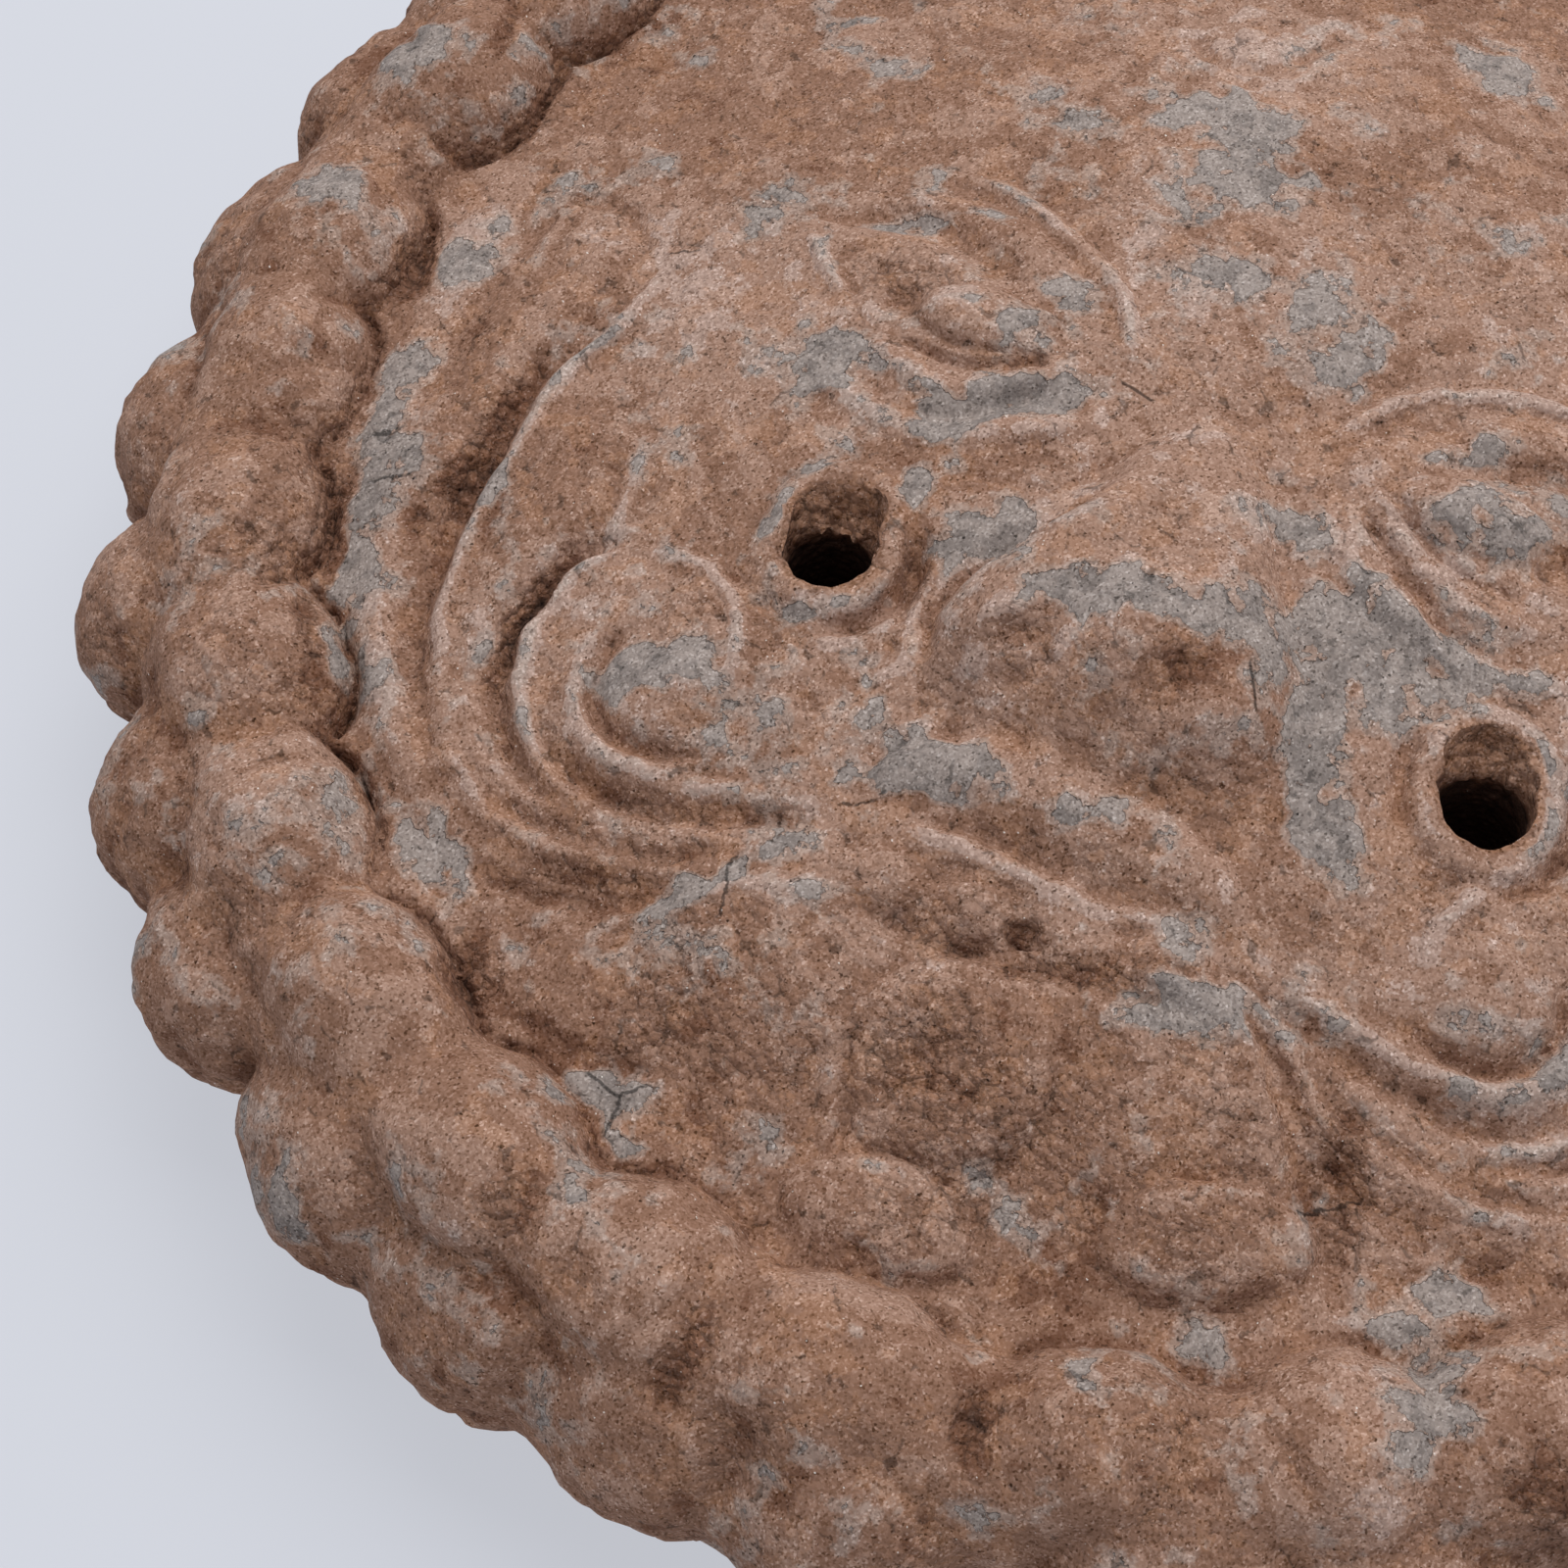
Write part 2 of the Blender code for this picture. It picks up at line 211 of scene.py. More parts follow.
def mirrored(points, side, lean):
    # drawn for the viewer's left; the right side lies lower by twice the lean
    return [(side * x, y - (1 - side) * lean * abs(x)) for x, y in points]


def easeEnds(place, fade):
    ends = np.clip(np.minimum(place / fade[0], (1 - place) / fade[1]), 0, 1)
    return ends * ends * (3 - 2 * ends)


def smoothLine(points, steps=6):
    points = np.array(points, float)
    ends = [2 * points[0] - points[1], *points, 2 * points[-1] - points[-2]]
    line = [points[0]]
    for a, b, c, d in zip(ends, ends[1:], ends[2:], ends[3:]):
        for t in np.linspace(0, 1, steps + 1)[1:]:
            line.append(0.5 * (
                2 * b + (c - a) * t + (2 * a - 5 * b + 4 * c - d) * t**2
                + (3 * b - a - 3 * c + d) * t**3
            ))
    return np.array(line)


def carveMane(face):
    # flat rim inside the beads
    face.strokePair([
        (-0.83, 0.3), (-0.856, 0.1), (-0.852, -0.05), (-0.84, -0.16), (-0.815, -0.29), (-0.775, -0.4),
        (-0.735, -0.485), (-0.685, -0.56), (-0.62, -0.625), (-0.53, -0.69)
    ], 0.085, 0.008, flat=3, rub=0.8)
    # broad outer lock with a round top
    face.strokePair([
        (-0.735, 0.115), (-0.735, 0.03), (-0.75, -0.08), (-0.765, -0.2), (-0.758, -0.32), (-0.73, -0.42),
        (-0.685, -0.505), (-0.625, -0.575), (-0.55, -0.622), (-0.46, -0.64), (-0.38, -0.63)
    ], (0.16, 0.14, 0.11, 0.1, 0.09, 0.06), 0.012, fade=(0.08, 0.3), flat=3)
    face.strokePair([
        (-0.8, 0.02), (-0.785, 0.1), (-0.735, 0.125), (-0.68, 0.09), (-0.65, 0.03)
    ], 0.035, -0.007)
    # its inner edge: dark ragged groove, then the thin rim of the second lock
    face.sweepPair([
        (-0.665, -0.07), (-0.686, -0.14), (-0.694, -0.22), (-0.698, -0.3), (-0.694, -0.38),
        (-0.68, -0.435), (-0.655, -0.485), (-0.615, -0.535), (-0.565, -0.572)
    ], [
        (-0.058, 0), (-0.04, -0.006), (-0.026, -0.02), (-0.014, -0.024), (-0.004, -0.007), (0.004, 0)
    ], fade=(0.2, 0.5))
    face.sweepPair([
        (-0.62, 0.1), (-0.632, 0.02), (-0.65, -0.06), (-0.678, -0.12), (-0.69, -0.2), (-0.696, -0.3),
        (-0.692, -0.38), (-0.678, -0.436), (-0.652, -0.487), (-0.61, -0.535)
    ], [
        (-0.008, 0), (-0.002, 0.008), (0.004, 0.013), (0.011, 0.01), (0.018, 0.003), (0.026, 0)
    ], fade=(0.25, 0.2), rub=1.0)
    face.strokePair([
        (-0.62, -0.145), (-0.625, -0.25), (-0.635, -0.34), (-0.64, -0.41), (-0.615, -0.485),
        (-0.565, -0.553), (-0.49, -0.598), (-0.41, -0.612), (-0.33, -0.6), (-0.25, -0.575)
    ], (0.135, 0.15, 0.125, 0.085, 0.07, 0.05), 0.013, fade=(0.06, 0.3), flat=4)
    face.strokePair([
        (-0.575, -0.165), (-0.553, -0.2), (-0.547, -0.26), (-0.547, -0.315)
    ], 0.026, 0.004, rub=0.9)
    # cheek spiral
    face.moundPair((-0.462, -0.432), (0.135, 0.13), 0.017, power=0.7)
    face.sweepPair([
        (-0.51, -0.302), (-0.545, -0.318), (-0.57, -0.352), (-0.582, -0.395), (-0.583, -0.443),
        (-0.571, -0.482), (-0.548, -0.516), (-0.52, -0.543), (-0.48, -0.566), (-0.435, -0.58),
        (-0.385, -0.578), (-0.33, -0.56)
    ], [
        (-0.044, 0), (-0.028, -0.008), (-0.015, -0.022), (-0.006, -0.012), (0.0, 0.005), (0.007, 0.009),
        (0.016, 0.004), (0.026, 0)
    ], fade=(0.12, 0.6), rub=0.9)
    face.strokePair([
        (-0.555, -0.49), (-0.515, -0.522), (-0.47, -0.545), (-0.41, -0.558), (-0.35, -0.553),
        (-0.27, -0.535), (-0.19, -0.522)
    ], 0.038, -0.012)
    face.strokePair([
        (-0.53, -0.304), (-0.47, -0.298), (-0.42, -0.315), (-0.385, -0.35), (-0.362, -0.4),
        (-0.355, -0.46)
    ], 0.027, 0.007, rub=0.9)
    face.strokePair([
        (-0.455, -0.378), (-0.485, -0.402), (-0.49, -0.445), (-0.475, -0.482), (-0.44, -0.503),
        (-0.395, -0.506), (-0.34, -0.49)
    ], 0.03, -0.017)
    face.strokePair([
        (-0.49, -0.385), (-0.513, -0.43), (-0.503, -0.48), (-0.465, -0.517), (-0.4, -0.532),
        (-0.32, -0.522), (-0.22, -0.507)
    ], 0.031, 0.007, rub=0.7)
    face.moundPair((-0.425, -0.443), (0.062, 0.05), 0.009, power=1.0)
    # folds under it
    face.strokePair([
        (-0.605, -0.545), (-0.545, -0.585), (-0.48, -0.604), (-0.41, -0.609), (-0.34, -0.593),
        (-0.27, -0.567)
    ], 0.036, -0.012)
    face.strokePair([
        (-0.56, -0.655), (-0.48, -0.668), (-0.41, -0.665), (-0.35, -0.648), (-0.3, -0.62)
    ], 0.034, -0.008)
    face.stroke([
        (0.2, -0.545), (0.26, -0.6), (0.31, -0.655), (0.345, -0.7), (0.37, -0.745), (0.39, -0.8)
    ], (0.03, 0.05, 0.06, 0.05), -0.022)
    face.stroke([(0.36, -0.8), (0.47, -0.765), (0.57, -0.695)], 0.045, 0.01, rub=0.7)
    face.stroke([(0.4, -0.74), (0.46, -0.715), (0.54, -0.655)], 0.035, -0.008)


def carveEyes(face):
    lean = 0.1
    face.moundPair((-0.29, 0.05), (0.23, 0.16), 0.012, turn=-14, lean=lean)
    # ball, the hollow beside it, upper lid and brow
    face.moundPair((-0.265, 0.039), (0.082, 0.04), 0.021, lean=lean, power=0.6)
    face.moundPair((-0.356, 0.042), (0.036, 0.026), -0.011, turn=-10, lean=lean)
    face.strokePair([
        (-0.535, 0.153), (-0.481, 0.147), (-0.43, 0.152), (-0.38, 0.151), (-0.334, 0.137),
        (-0.292, 0.118), (-0.249, 0.094), (-0.205, 0.077)
    ], (0.03, 0.055, 0.06, 0.06, 0.03), -0.013, lean=lean)
    face.strokePair([
        (-0.458, 0.187), (-0.393, 0.192), (-0.323, 0.181), (-0.258, 0.15), (-0.198, 0.116)
    ], 0.06, 0.007, lean=lean)
    face.strokePair([
        (-0.42, 0.234), (-0.36, 0.236), (-0.292, 0.216), (-0.232, 0.183), (-0.177, 0.147),
        (-0.137, 0.097), (-0.111, 0.049), (-0.083, 0.015)
    ], 0.03, 0.009, lean=lean, rub=0.8)
    # lids below the ball
    face.strokePair([
        (-0.356, -0.003), (-0.315, -0.015), (-0.275, -0.021), (-0.238, -0.015), (-0.205, 0.001),
        (-0.174, 0.032)
    ], 0.02, -0.009, lean=lean)
    face.strokePair([
        (-0.494, 0.119), (-0.467, 0.086), (-0.439, 0.055), (-0.411, 0.034)
    ], 0.026, 0.009, lean=lean, rub=1.0)
    face.strokePair([
        (-0.4, 0.006), (-0.351, -0.03), (-0.296, -0.049), (-0.25, -0.046), (-0.206, -0.024),
        (-0.169, 0.005), (-0.147, 0.045)
    ], 0.034, 0.007, lean=lean, rub=0.4)
    face.strokePair([
        (-0.327, -0.078), (-0.279, -0.08), (-0.232, -0.066), (-0.19, -0.038), (-0.149, -0.008)
    ], 0.026, -0.008, lean=lean)
    face.strokePair([
        (-0.431, -0.021), (-0.392, -0.064), (-0.342, -0.094), (-0.29, -0.105), (-0.235, -0.099),
        (-0.181, -0.078), (-0.135, -0.048), (-0.089, -0.004)
    ], 0.044, 0.008, lean=lean, rub=0.5)
    face.mound((-0.4, -0.091), (0.024, 0.016), -0.01)


def carveNose(face):
    # bridge, tip, wings and nostrils
    face.stroke([
        (0.0, 0.03), (0.0, -0.08), (-0.002, -0.17), (-0.003, -0.25), (-0.003, -0.33), (0.0, -0.425)
    ], (0.15, 0.18, 0.25, 0.35, 0.395, 0.36), 0.036, fade=(0.35, 0.24), flat=4)
    face.mound((0.0, -0.265), (0.19, 0.14), 0.028)
    face.mound((-0.122, -0.325), (0.07, 0.08), 0.012, turn=-15)
    face.mound((0.122, -0.335), (0.07, 0.08), 0.012, turn=15)
    face.mound((-0.1, -0.33), (0.044, 0.034), -0.011, turn=20, power=1.0)
    face.mound((0.062, -0.318), (0.05, 0.032), -0.012, turn=10, power=1.0)
    # hollow under the nose, then the steep left wing with its thin rim
    face.stroke([(-0.2, -0.4), (-0.1, -0.41), (0.0, -0.413), (0.1, -0.415), (0.2, -0.425)], 0.05, -0.003)
    face.sweep([
        (-0.162, -0.382), (-0.187, -0.326), (-0.189, -0.284), (-0.175, -0.245), (-0.147, -0.208),
        (-0.112, -0.171), (-0.083, -0.126), (-0.068, -0.082)
    ], [
        (-0.13, 0), (-0.09, 0.01), (-0.05, 0.02), (-0.022, 0.022), (-0.01, 0.016), (0.0, -0.004),
        (0.008, 0)
    ], fade=(0.25, 0.35))
    face.stroke([
        (-0.181, -0.388), (-0.207, -0.326), (-0.21, -0.277), (-0.193, -0.236), (-0.162, -0.195),
        (-0.125, -0.156), (-0.098, -0.112), (-0.084, -0.07)
    ], 0.042, 0.006, fade=(0.2, 0.3), rub=0.9)
    # grooves beside the bridge
    face.stroke([
        (-0.085, -0.03), (-0.1, -0.12), (-0.145, -0.19), (-0.195, -0.25), (-0.21, -0.33)
    ], 0.05, -0.007)
    face.stroke([
        (0.09, -0.04), (0.11, -0.12), (0.14, -0.2), (0.185, -0.26), (0.205, -0.34)
    ], 0.05, -0.006, rub=0.5)


def carveMouth(face):
    # upper lip and its lower edge
    face.stroke([
        (-0.198, -0.493), (-0.163, -0.46), (-0.107, -0.437), (-0.044, -0.434), (0.022, -0.441),
        (0.095, -0.454), (0.161, -0.476), (0.204, -0.509)
    ], (0.04, 0.08, 0.1, 0.1, 0.08, 0.05), 0.017, fade=(0.15, 0.2), flat=3)
    face.stroke([
        (-0.16, -0.506), (-0.097, -0.491), (-0.027, -0.494), (0.049, -0.501), (0.13, -0.512)
    ], 0.026, -0.005)
    face.stroke([
        (-0.209, -0.523), (-0.143, -0.512), (-0.08, -0.51), (-0.014, -0.514), (0.056, -0.52),
        (0.124, -0.521), (0.183, -0.524), (0.231, -0.525)
    ], 0.036, 0.007, rub=0.6)
    # worn teeth, and chips and pits in them and the tongue
    for x, y in ((-0.15, -0.558), (-0.05, -0.556), (0.05, -0.553), (0.14, -0.557)):
        face.mound((x, y), (0.05, 0.036), 0.01, power=1.2)
    face.stroke([
        (-0.2, -0.592), (-0.1, -0.598), (0.0, -0.59), (0.1, -0.592), (0.2, -0.575)
    ], 0.034, -0.008)
    chips = (
        (-0.12, -0.588, 0.01), (0.0, -0.573, 0.022), (0.02, -0.572, 0.014),
        (-0.05, -0.592, 0.01), (-0.03, -0.732, 0.01), (0.012, -0.727, 0.008),
    )
    for x, y, deep in chips:
        face.mound((x, y), (0.015, 0.009), -deep, power=1.0)
    # tongue
    face.mound((-0.023, -0.708), (0.104, 0.104), 0.026, power=0.5)
    face.mound((-0.023, -0.708), (0.06, 0.06), -0.006)
    face.stroke([
        (-0.087, -0.784), (-0.045, -0.8), (0.006, -0.796), (0.055, -0.773), (0.087, -0.731)
    ], 0.034, -0.009)
    # two ovals of the chin
    face.mound((-0.035, -0.856), (0.094, 0.054), 0.028, turn=4, power=0.5)
    face.mound((0.255, -0.77), (0.104, 0.054), 0.026, turn=22, power=0.5)
    face.stroke([(-0.099, -0.919), (-0.048, -0.926), (0.02, -0.905), (0.073, -0.857)], 0.03, -0.007)
    face.stroke([(0.171, -0.829), (0.228, -0.83), (0.295, -0.808), (0.344, -0.761)], 0.03, -0.007)
    face.sweep([
        (-0.13, -0.69), (-0.123, -0.745), (-0.109, -0.782), (-0.107, -0.829)
    ], [
        (-0.016, 0), (-0.006, 0.006), (0.002, 0.006), (0.012, -0.007), (0.024, 0)
    ])
    # jowls
    face.mound((0.168, -0.654), (0.15, 0.125), 0.021, turn=-10, power=0.8)
    face.stroke([
        (0.046, -0.61), (0.106, -0.576), (0.176, -0.571), (0.241, -0.593), (0.29, -0.63), (0.332, -0.673),
        (0.362, -0.718)
    ], 0.03, 0.006, rub=0.7)
    face.mound((-0.231, -0.655), (0.125, 0.12), 0.018, power=0.9)
    face.mound((-0.366, -0.738), (0.082, 0.078), 0.014, turn=-8, power=0.8)
    face.stroke([(-0.46, -0.775), (-0.38, -0.802), (-0.3, -0.8), (-0.25, -0.79)], 0.036, -0.009)
    face.stroke([
        (-0.41, -0.69), (-0.34, -0.655), (-0.28, -0.615), (-0.2, -0.598), (-0.13, -0.6)
    ], 0.04, 0.006, rub=0.7)


def carveForehead(face):
    face.mound((0.0, 0.42), (0.45, 0.36), 0.012)
    face.stroke([(-0.22, 0.44), (-0.15, 0.475), (-0.06, 0.44)], 0.035, -0.006)
    face.stroke([
        (-0.207, 0.554), (-0.17, 0.506), (-0.121, 0.499), (-0.074, 0.548), (-0.035, 0.632)
    ], 0.034, -0.009, fade=(0.1, 0.4))
    face.stroke([(-0.176, 0.478), (-0.125, 0.456), (-0.074, 0.49), (-0.029, 0.569)], 0.03, 0.005, rub=0.6)
    face.strokePair([(-0.74, 0.32), (-0.66, 0.46), (-0.53, 0.6), (-0.36, 0.7)], 0.12, 0.008)
    face.strokePair([(-0.62, 0.22), (-0.56, 0.36), (-0.44, 0.48), (-0.3, 0.56)], 0.1, -0.006)
    # grooves between the nose and the nail holes
    face.stroke([(-0.245, -0.215), (-0.226, -0.265), (-0.228, -0.325)], 0.03, -0.016)
    face.stroke([(0.275, -0.245), (0.278, -0.305), (0.305, -0.35)], 0.03, -0.01)


# Where the clay lies bare, is crusted or cracked

greyPatches = (  # middle and half sizes in shares of unit, turn in degrees, strength
    (-0.319, -0.063, 0.04, 0.026, 2, 0.9), (-0.402, -0.037, 0.02, 0.024, 22, 0.8),
    (-0.143, 0.408, 0.06, 0.038, 2, 1.0), (-0.094, 0.317, 0.055, 0.045, 32, 0.9),
    (-0.044, 0.182, 0.026, 0.032, 22, 0.8), (0.129, 0.63, 0.028, 0.042, 22, 1.0),
    (-0.195, -0.194, 0.044, 0.022, 30, 1.0), (-0.012, -0.251, 0.072, 0.02, 14, 1.0),
    (0.073, -0.225, 0.028, 0.03, 22, 0.8), (0.223, -0.192, 0.066, 0.058, -8, 1.0),
    (0.102, 0.104, 0.04, 0.03, 32, 0.9), (0.115, -0.097, 0.018, 0.026, 22, 1.0),
    (0.208, -0.32, 0.022, 0.07, 22, 1.0), (-0.271, 0.04, 0.062, 0.022, 12, 0.9),
    (-0.234, -0.062, 0.092, 0.018, 26, 1.0), (-0.188, 0.103, 0.034, 0.016, -13, 1.0),
    (-0.359, 0.165, 0.06, 0.011, 14, 0.8), (-0.455, 0.083, 0.009, 0.038, 47, 1.0),
    (-0.582, -0.652, 0.03, 0.056, 40, 1.0), (-0.235, -0.411, 0.018, 0.048, 10, 1.0),
    (-0.239, -0.36, 0.024, 0.016, 22, 0.8), (-0.132, -0.45, 0.066, 0.02, 10, 1.0),
    (-0.026, -0.451, 0.038, 0.011, 14, 0.8), (-0.312, -0.83, 0.038, 0.024, 22, 1.0),
    (-0.274, -0.877, 0.013, 0.007, -8, 0.9), (-0.44, -0.433, 0.052, 0.02, 22, 1.0),
    (-1.02, 0.233, 0.024, 0.034, 22, 1.0), (-1.032, 0.023, 0.032, 0.018, 22, 0.8),
    (0.202, -0.942, 0.015, 0.014, 22, 1.0), (0.471, -0.843, 0.03, 0.05, 22, 0.6),
    (0.131, -0.593, 0.058, 0.013, 22, 0.9), (-0.845, 0.009, 0.026, 0.04, -8, 0.8),
    (-0.852, -0.2, 0.018, 0.056, 7, 0.8), (-0.786, -0.411, 0.013, 0.104, 22, 0.9),
    (-0.29, -0.609, 0.05, 0.012, 42, 0.9), (0.472, -0.725, 0.058, 0.014, 22, 0.7),
    (0.264, -0.026, 0.042, 0.024, 22, 0.9), (0.221, 0.05, 0.054, 0.011, 32, 0.8),
    (-0.575, 0.463, 0.032, 0.012, 22, 0.8), (0.03, 0.322, 0.018, 0.026, 22, 0.7),
    (-0.297, -0.942, 0.02, 0.01, 2, 0.6), (-0.562, -1.033, 0.014, 0.03, 22, 0.5),
    (-0.292, -0.318, 0.034, 0.009, 24, 0.8), (-0.392, -0.256, 0.008, 0.034, -8, 0.7),
    (-0.366, -0.168, 0.03, 0.016, 34, 0.7), (-0.262, -0.172, 0.012, 0.026, 20, 0.8),
    (0.402, -0.262, 0.01, 0.034, 14, 0.7), (0.352, -0.15, 0.03, 0.018, 0, 0.7),
)
darkPatches = (  # crumbly dark earth, given the same way
    (-0.73, -0.233, 0.014, 0.084, -10, 1.0), (-0.589, -0.395, 0.009, 0.066, -6, 1.0),
    (-0.903, -0.004, 0.013, 0.04, 2, 1.0), (-0.84, -0.335, 0.01, 0.05, 17, 0.9),
    (-0.793, -0.484, 0.009, 0.04, 27, 0.9), (-0.483, -0.769, 0.018, 0.03, 22, 1.0),
    (-0.335, -0.962, 0.024, 0.018, 22, 0.8), (-0.141, -1.035, 0.013, 0.032, -3, 1.0),
    (0.113, -1.001, 0.018, 0.024, 22, 1.0), (-0.096, -0.322, 0.022, 0.02, 22, 0.6),
    (0.061, -0.296, 0.026, 0.02, 22, 0.6), (-0.024, -0.706, 0.05, 0.05, 22, 0.5),
    (-0.002, -0.561, 0.013, 0.006, 7, 1.4), (-0.024, -0.713, 0.02, 0.014, 22, 0.7),
    (-0.602, -0.216, 0.046, 0.046, 22, 0.3), (-0.925, -0.302, 0.04, 0.034, 22, 0.5),
    (-0.388, 0.065, 0.044, 0.02, 22, 0.5), (0.352, -0.656, 0.013, 0.054, 32, 0.7),
    (-0.028, -0.855, 0.06, 0.026, 17, 0.4), (0.586, -0.873, 0.026, 0.028, 22, 1.0),
    (-0.424, -0.647, 0.06, 0.014, 10, 0.5), (0.094, -0.571, 0.084, 0.009, 20, 0.6),
    (-0.216, -0.285, 0.01, 0.034, -3, 0.8), (-0.934, 0.298, 0.01, 0.05, 2, 0.8),
    (-0.281, -1.007, 0.036, 0.018, 7, 0.4), (-0.89, -0.394, 0.034, 0.026, 22, 0.4),
)
crackedSpots = (  # middle and half size
    (-0.687, -0.293, 0.03), (0.114, -0.094, 0.04), (-0.214, -0.318, 0.024), (-0.197, -0.476, 0.026),
    (-0.622, 0.089, 0.03), (-0.815, -0.256, 0.04), (0.355, -0.701, 0.034), (-0.09, 0.01, 0.022),
    (-0.282, -0.616, 0.036), (0.102, 0.383, 0.026), (-0.224, 0.027, 0.03), (-0.313, -0.833, 0.034),
    (0.145, -0.278, 0.036), (0.311, -0.364, 0.03),
)


def paintPatches(places, patches):
    # soft-edged ovals on the face, with wandering outlines
    x = layered(places, ((0.007, 1.8, 61), (0.012, 6, 62)), places[:, 0] / unit)
    y = layered(places, ((0.007, 1.8, 63), (0.012, 6, 64)), places[:, 1] / unit)
    paint = np.zeros(len(x))
    for cx, cy, halfX, halfY, turn, strength in patches:
        c, s = math.cos(math.radians(turn)), math.sin(math.radians(turn))
        dx, dy = x - cx, y - cy
        far = ((c * dx + s * dy) / halfX) ** 2 + ((c * dy - s * dx) / halfY) ** 2
        paint = np.maximum(paint, strength * np.clip(1.38 - 0.7 * np.sqrt(far), 0, 1))
    return paint * (places[:, 2] > 0.6 * tileForm["thick"] * unit)


# The tile's blank, spun, then beaded, carved and roughened

tileForm = {
    "wall": 1.114, "thick": 0.2955, "domeRise": 0.159, "domeFullness": 1.25,
    "shoulder": 0.121, "footFlare": 0.018, "backEdge": 0.023, "maskEdge": 0.886,
    "ringStep": 0.42 * mm, "wallStep": 1.3, "backRings": 12, "spins": 62, "cuts": 16, "triangles": 180000,
    "sharpFrom": 60,  # degrees
}
sectionNames = ("radius", "walked", "outward", "upward")
beadCount = 31
beadWear = {  # how far one bead may differ from the next, and the faint step round its top
    "shift": 0.05, "stretch": 0.06, "tall": 0.10, "wide": 0.08, "square": 2.2,
    "stepDepth": 0.05, "stepAt": 0.48, "stepHalf": 0.13,
}
faceBeads = {
    "circle": 1.0, "length": 0.178, "rise": 0.060, "start": 167.0, "valley": 0.64, "round": 0.9,
    "flat": 2.6, "blend": 3.0, "lean": 0.10, "rope": 0.84, "crumbled": 0.35,
    "nudges": (-1.2, 1.8, 0.3, 0.3, -0.9, -1.3, -1.4, -1.6, -2.8, -2.1, -0.5, 0.1),
}
sideBeads = {
    "drop": 0.106, "length": 0.205, "rise": 0.074, "start": 170.5, "valley": 0.10, "round": 0.75,
    "flat": 2.2, "blend": 3.0, "lean": 0.0, "rope": 1.0, "crumbled": 0.9,
    "nudges": (-2.8, -1.5, -0.8, -0.1, 0.3, -0.8, 0.2, -1.0, -2.5, -3.7),
}
shoulderFill = {"rise": 0.030, "half": 0.065, "inward": 0.4 * mm}
surfaceWear = {  # lengths in millimetres
    "coarseDrift": 0.9, "fineDrift": 0.35, "merge": 2.5,
    "crease": 1.4, "creaseSide": 175,  # degrees
    "carvingFade": 0.03,  # share of unit
}
nailHoles = {
    "across": 0.0072, "apart": 0.0448, "drop": 0.0180, "aside": 0.0014, "lean": 0.0022,
    "collar": 0.021, "collarRise": 0.014, "dent": 0.020, "dentWay": (0.94, -0.34),
    "broken": 0.0013, "brokenWay": (-0.12, 0.99),
    "bore": 44 * mm, "boreMiddle": 18 * mm, "boreSides": 72, "boreCuts": 90,
    "neck": 18, "ragged": 24.5, "mouth": 25.2, "lip": 25.4, "slope": 25.6,  # heights in millimetres
    "inmost": -2.0,  # how far the earth may stand into the bore, in millimetres
}


def sectionPoints(form):
    thick, wall = form["thick"] * unit, form["wall"] * unit
    dome, mask = form["domeRise"] * unit, form["maskEdge"] * unit
    shoulder, edge = form["shoulder"] * unit, form["backEdge"] * unit
    step = form["ringStep"]
    points = []
    for share in np.linspace(0, 1, round(mask / step), endpoint=False):
        points.append((share * mask, thick + dome * (1 - share**2) ** form["domeFullness"]))
    band = wall - shoulder - mask
    for radius in np.linspace(mask, wall - shoulder, round(band / step), endpoint=False):
        points.append((radius, thick))
    for turn in np.linspace(0, math.pi / 2, round(shoulder * 1.57 / step), endpoint=False):
        points.append((wall - shoulder * (1 - math.sin(turn)), thick - shoulder * (1 - math.cos(turn))))
    wallTop = thick - shoulder
    for share in np.linspace(0, 1, round((wallTop - edge) / step / form["wallStep"])):
        points.append((wall + form["footFlare"] * unit * share, wallTop - (wallTop - edge) * share))
    back = wall + form["footFlare"] * unit - edge
    for share in np.linspace(1, 0, form["backRings"]):
        points.append((back * share, 0.0))
    return np.array(points)


def spinBlank(form):
    # spun coarsely and cut finely; each vertex keeps its place on the section
    same = 1e-6
    points = sectionPoints(form)
    walked = np.concatenate([[0], np.cumsum(np.hypot(*np.diff(points, axis=0).T))])
    ways = np.gradient(points, axis=0)
    ways /= np.hypot(*ways.T)[:, None]
    bm = bmesh.new()
    layers = [bm.verts.layers.float.new(name) for name in sectionNames]
    verts = []
    for (radius, height), way, length in zip(points, ways, walked):
        vert = bm.verts.new((radius, 0, height))
        for layer, value in zip(layers, (radius, length, -way[1], way[0])):
            vert[layer] = value
        verts.append(vert)
    edges = [bm.edges.new(pair) for pair in zip(verts, verts[1:])]
    bmesh.ops.spin(bm, geom=verts + edges, axis=(0, 0, 1), angle=math.tau, steps=form["spins"],
                   use_merge=True)
    bmesh.ops.remove_doubles(bm, verts=bm.verts, dist=same)
    rings = [e for e in bm.edges if abs(e.verts[0][layers[1]] - e.verts[1][layers[1]]) < same]
    bmesh.ops.subdivide_edges(bm, edges=rings, cuts=form["cuts"], use_grid_fill=True)
    bmesh.ops.recalc_face_normals(bm, faces=bm.faces)
    bmesh.ops.triangulate(bm, faces=bm.faces)
    mesh = bpy.data.meshes.new("tile blank")
    bm.to_mesh(mesh)
    bm.free()
    front = np.argmax(points[:, 0])
    faceMiddle = np.interp(faceBeads["circle"] * unit, points[:front, 0], walked[:front])
    sideLevel = (form["thick"] - sideBeads["drop"]) * unit
    outer = (points[:, 0] > form["maskEdge"] * unit) & (points[:, 1] > 0)
    sideMiddle = np.interp(-sideLevel, -points[outer, 1], walked[outer])
    return mesh, faceMiddle, sideMiddle


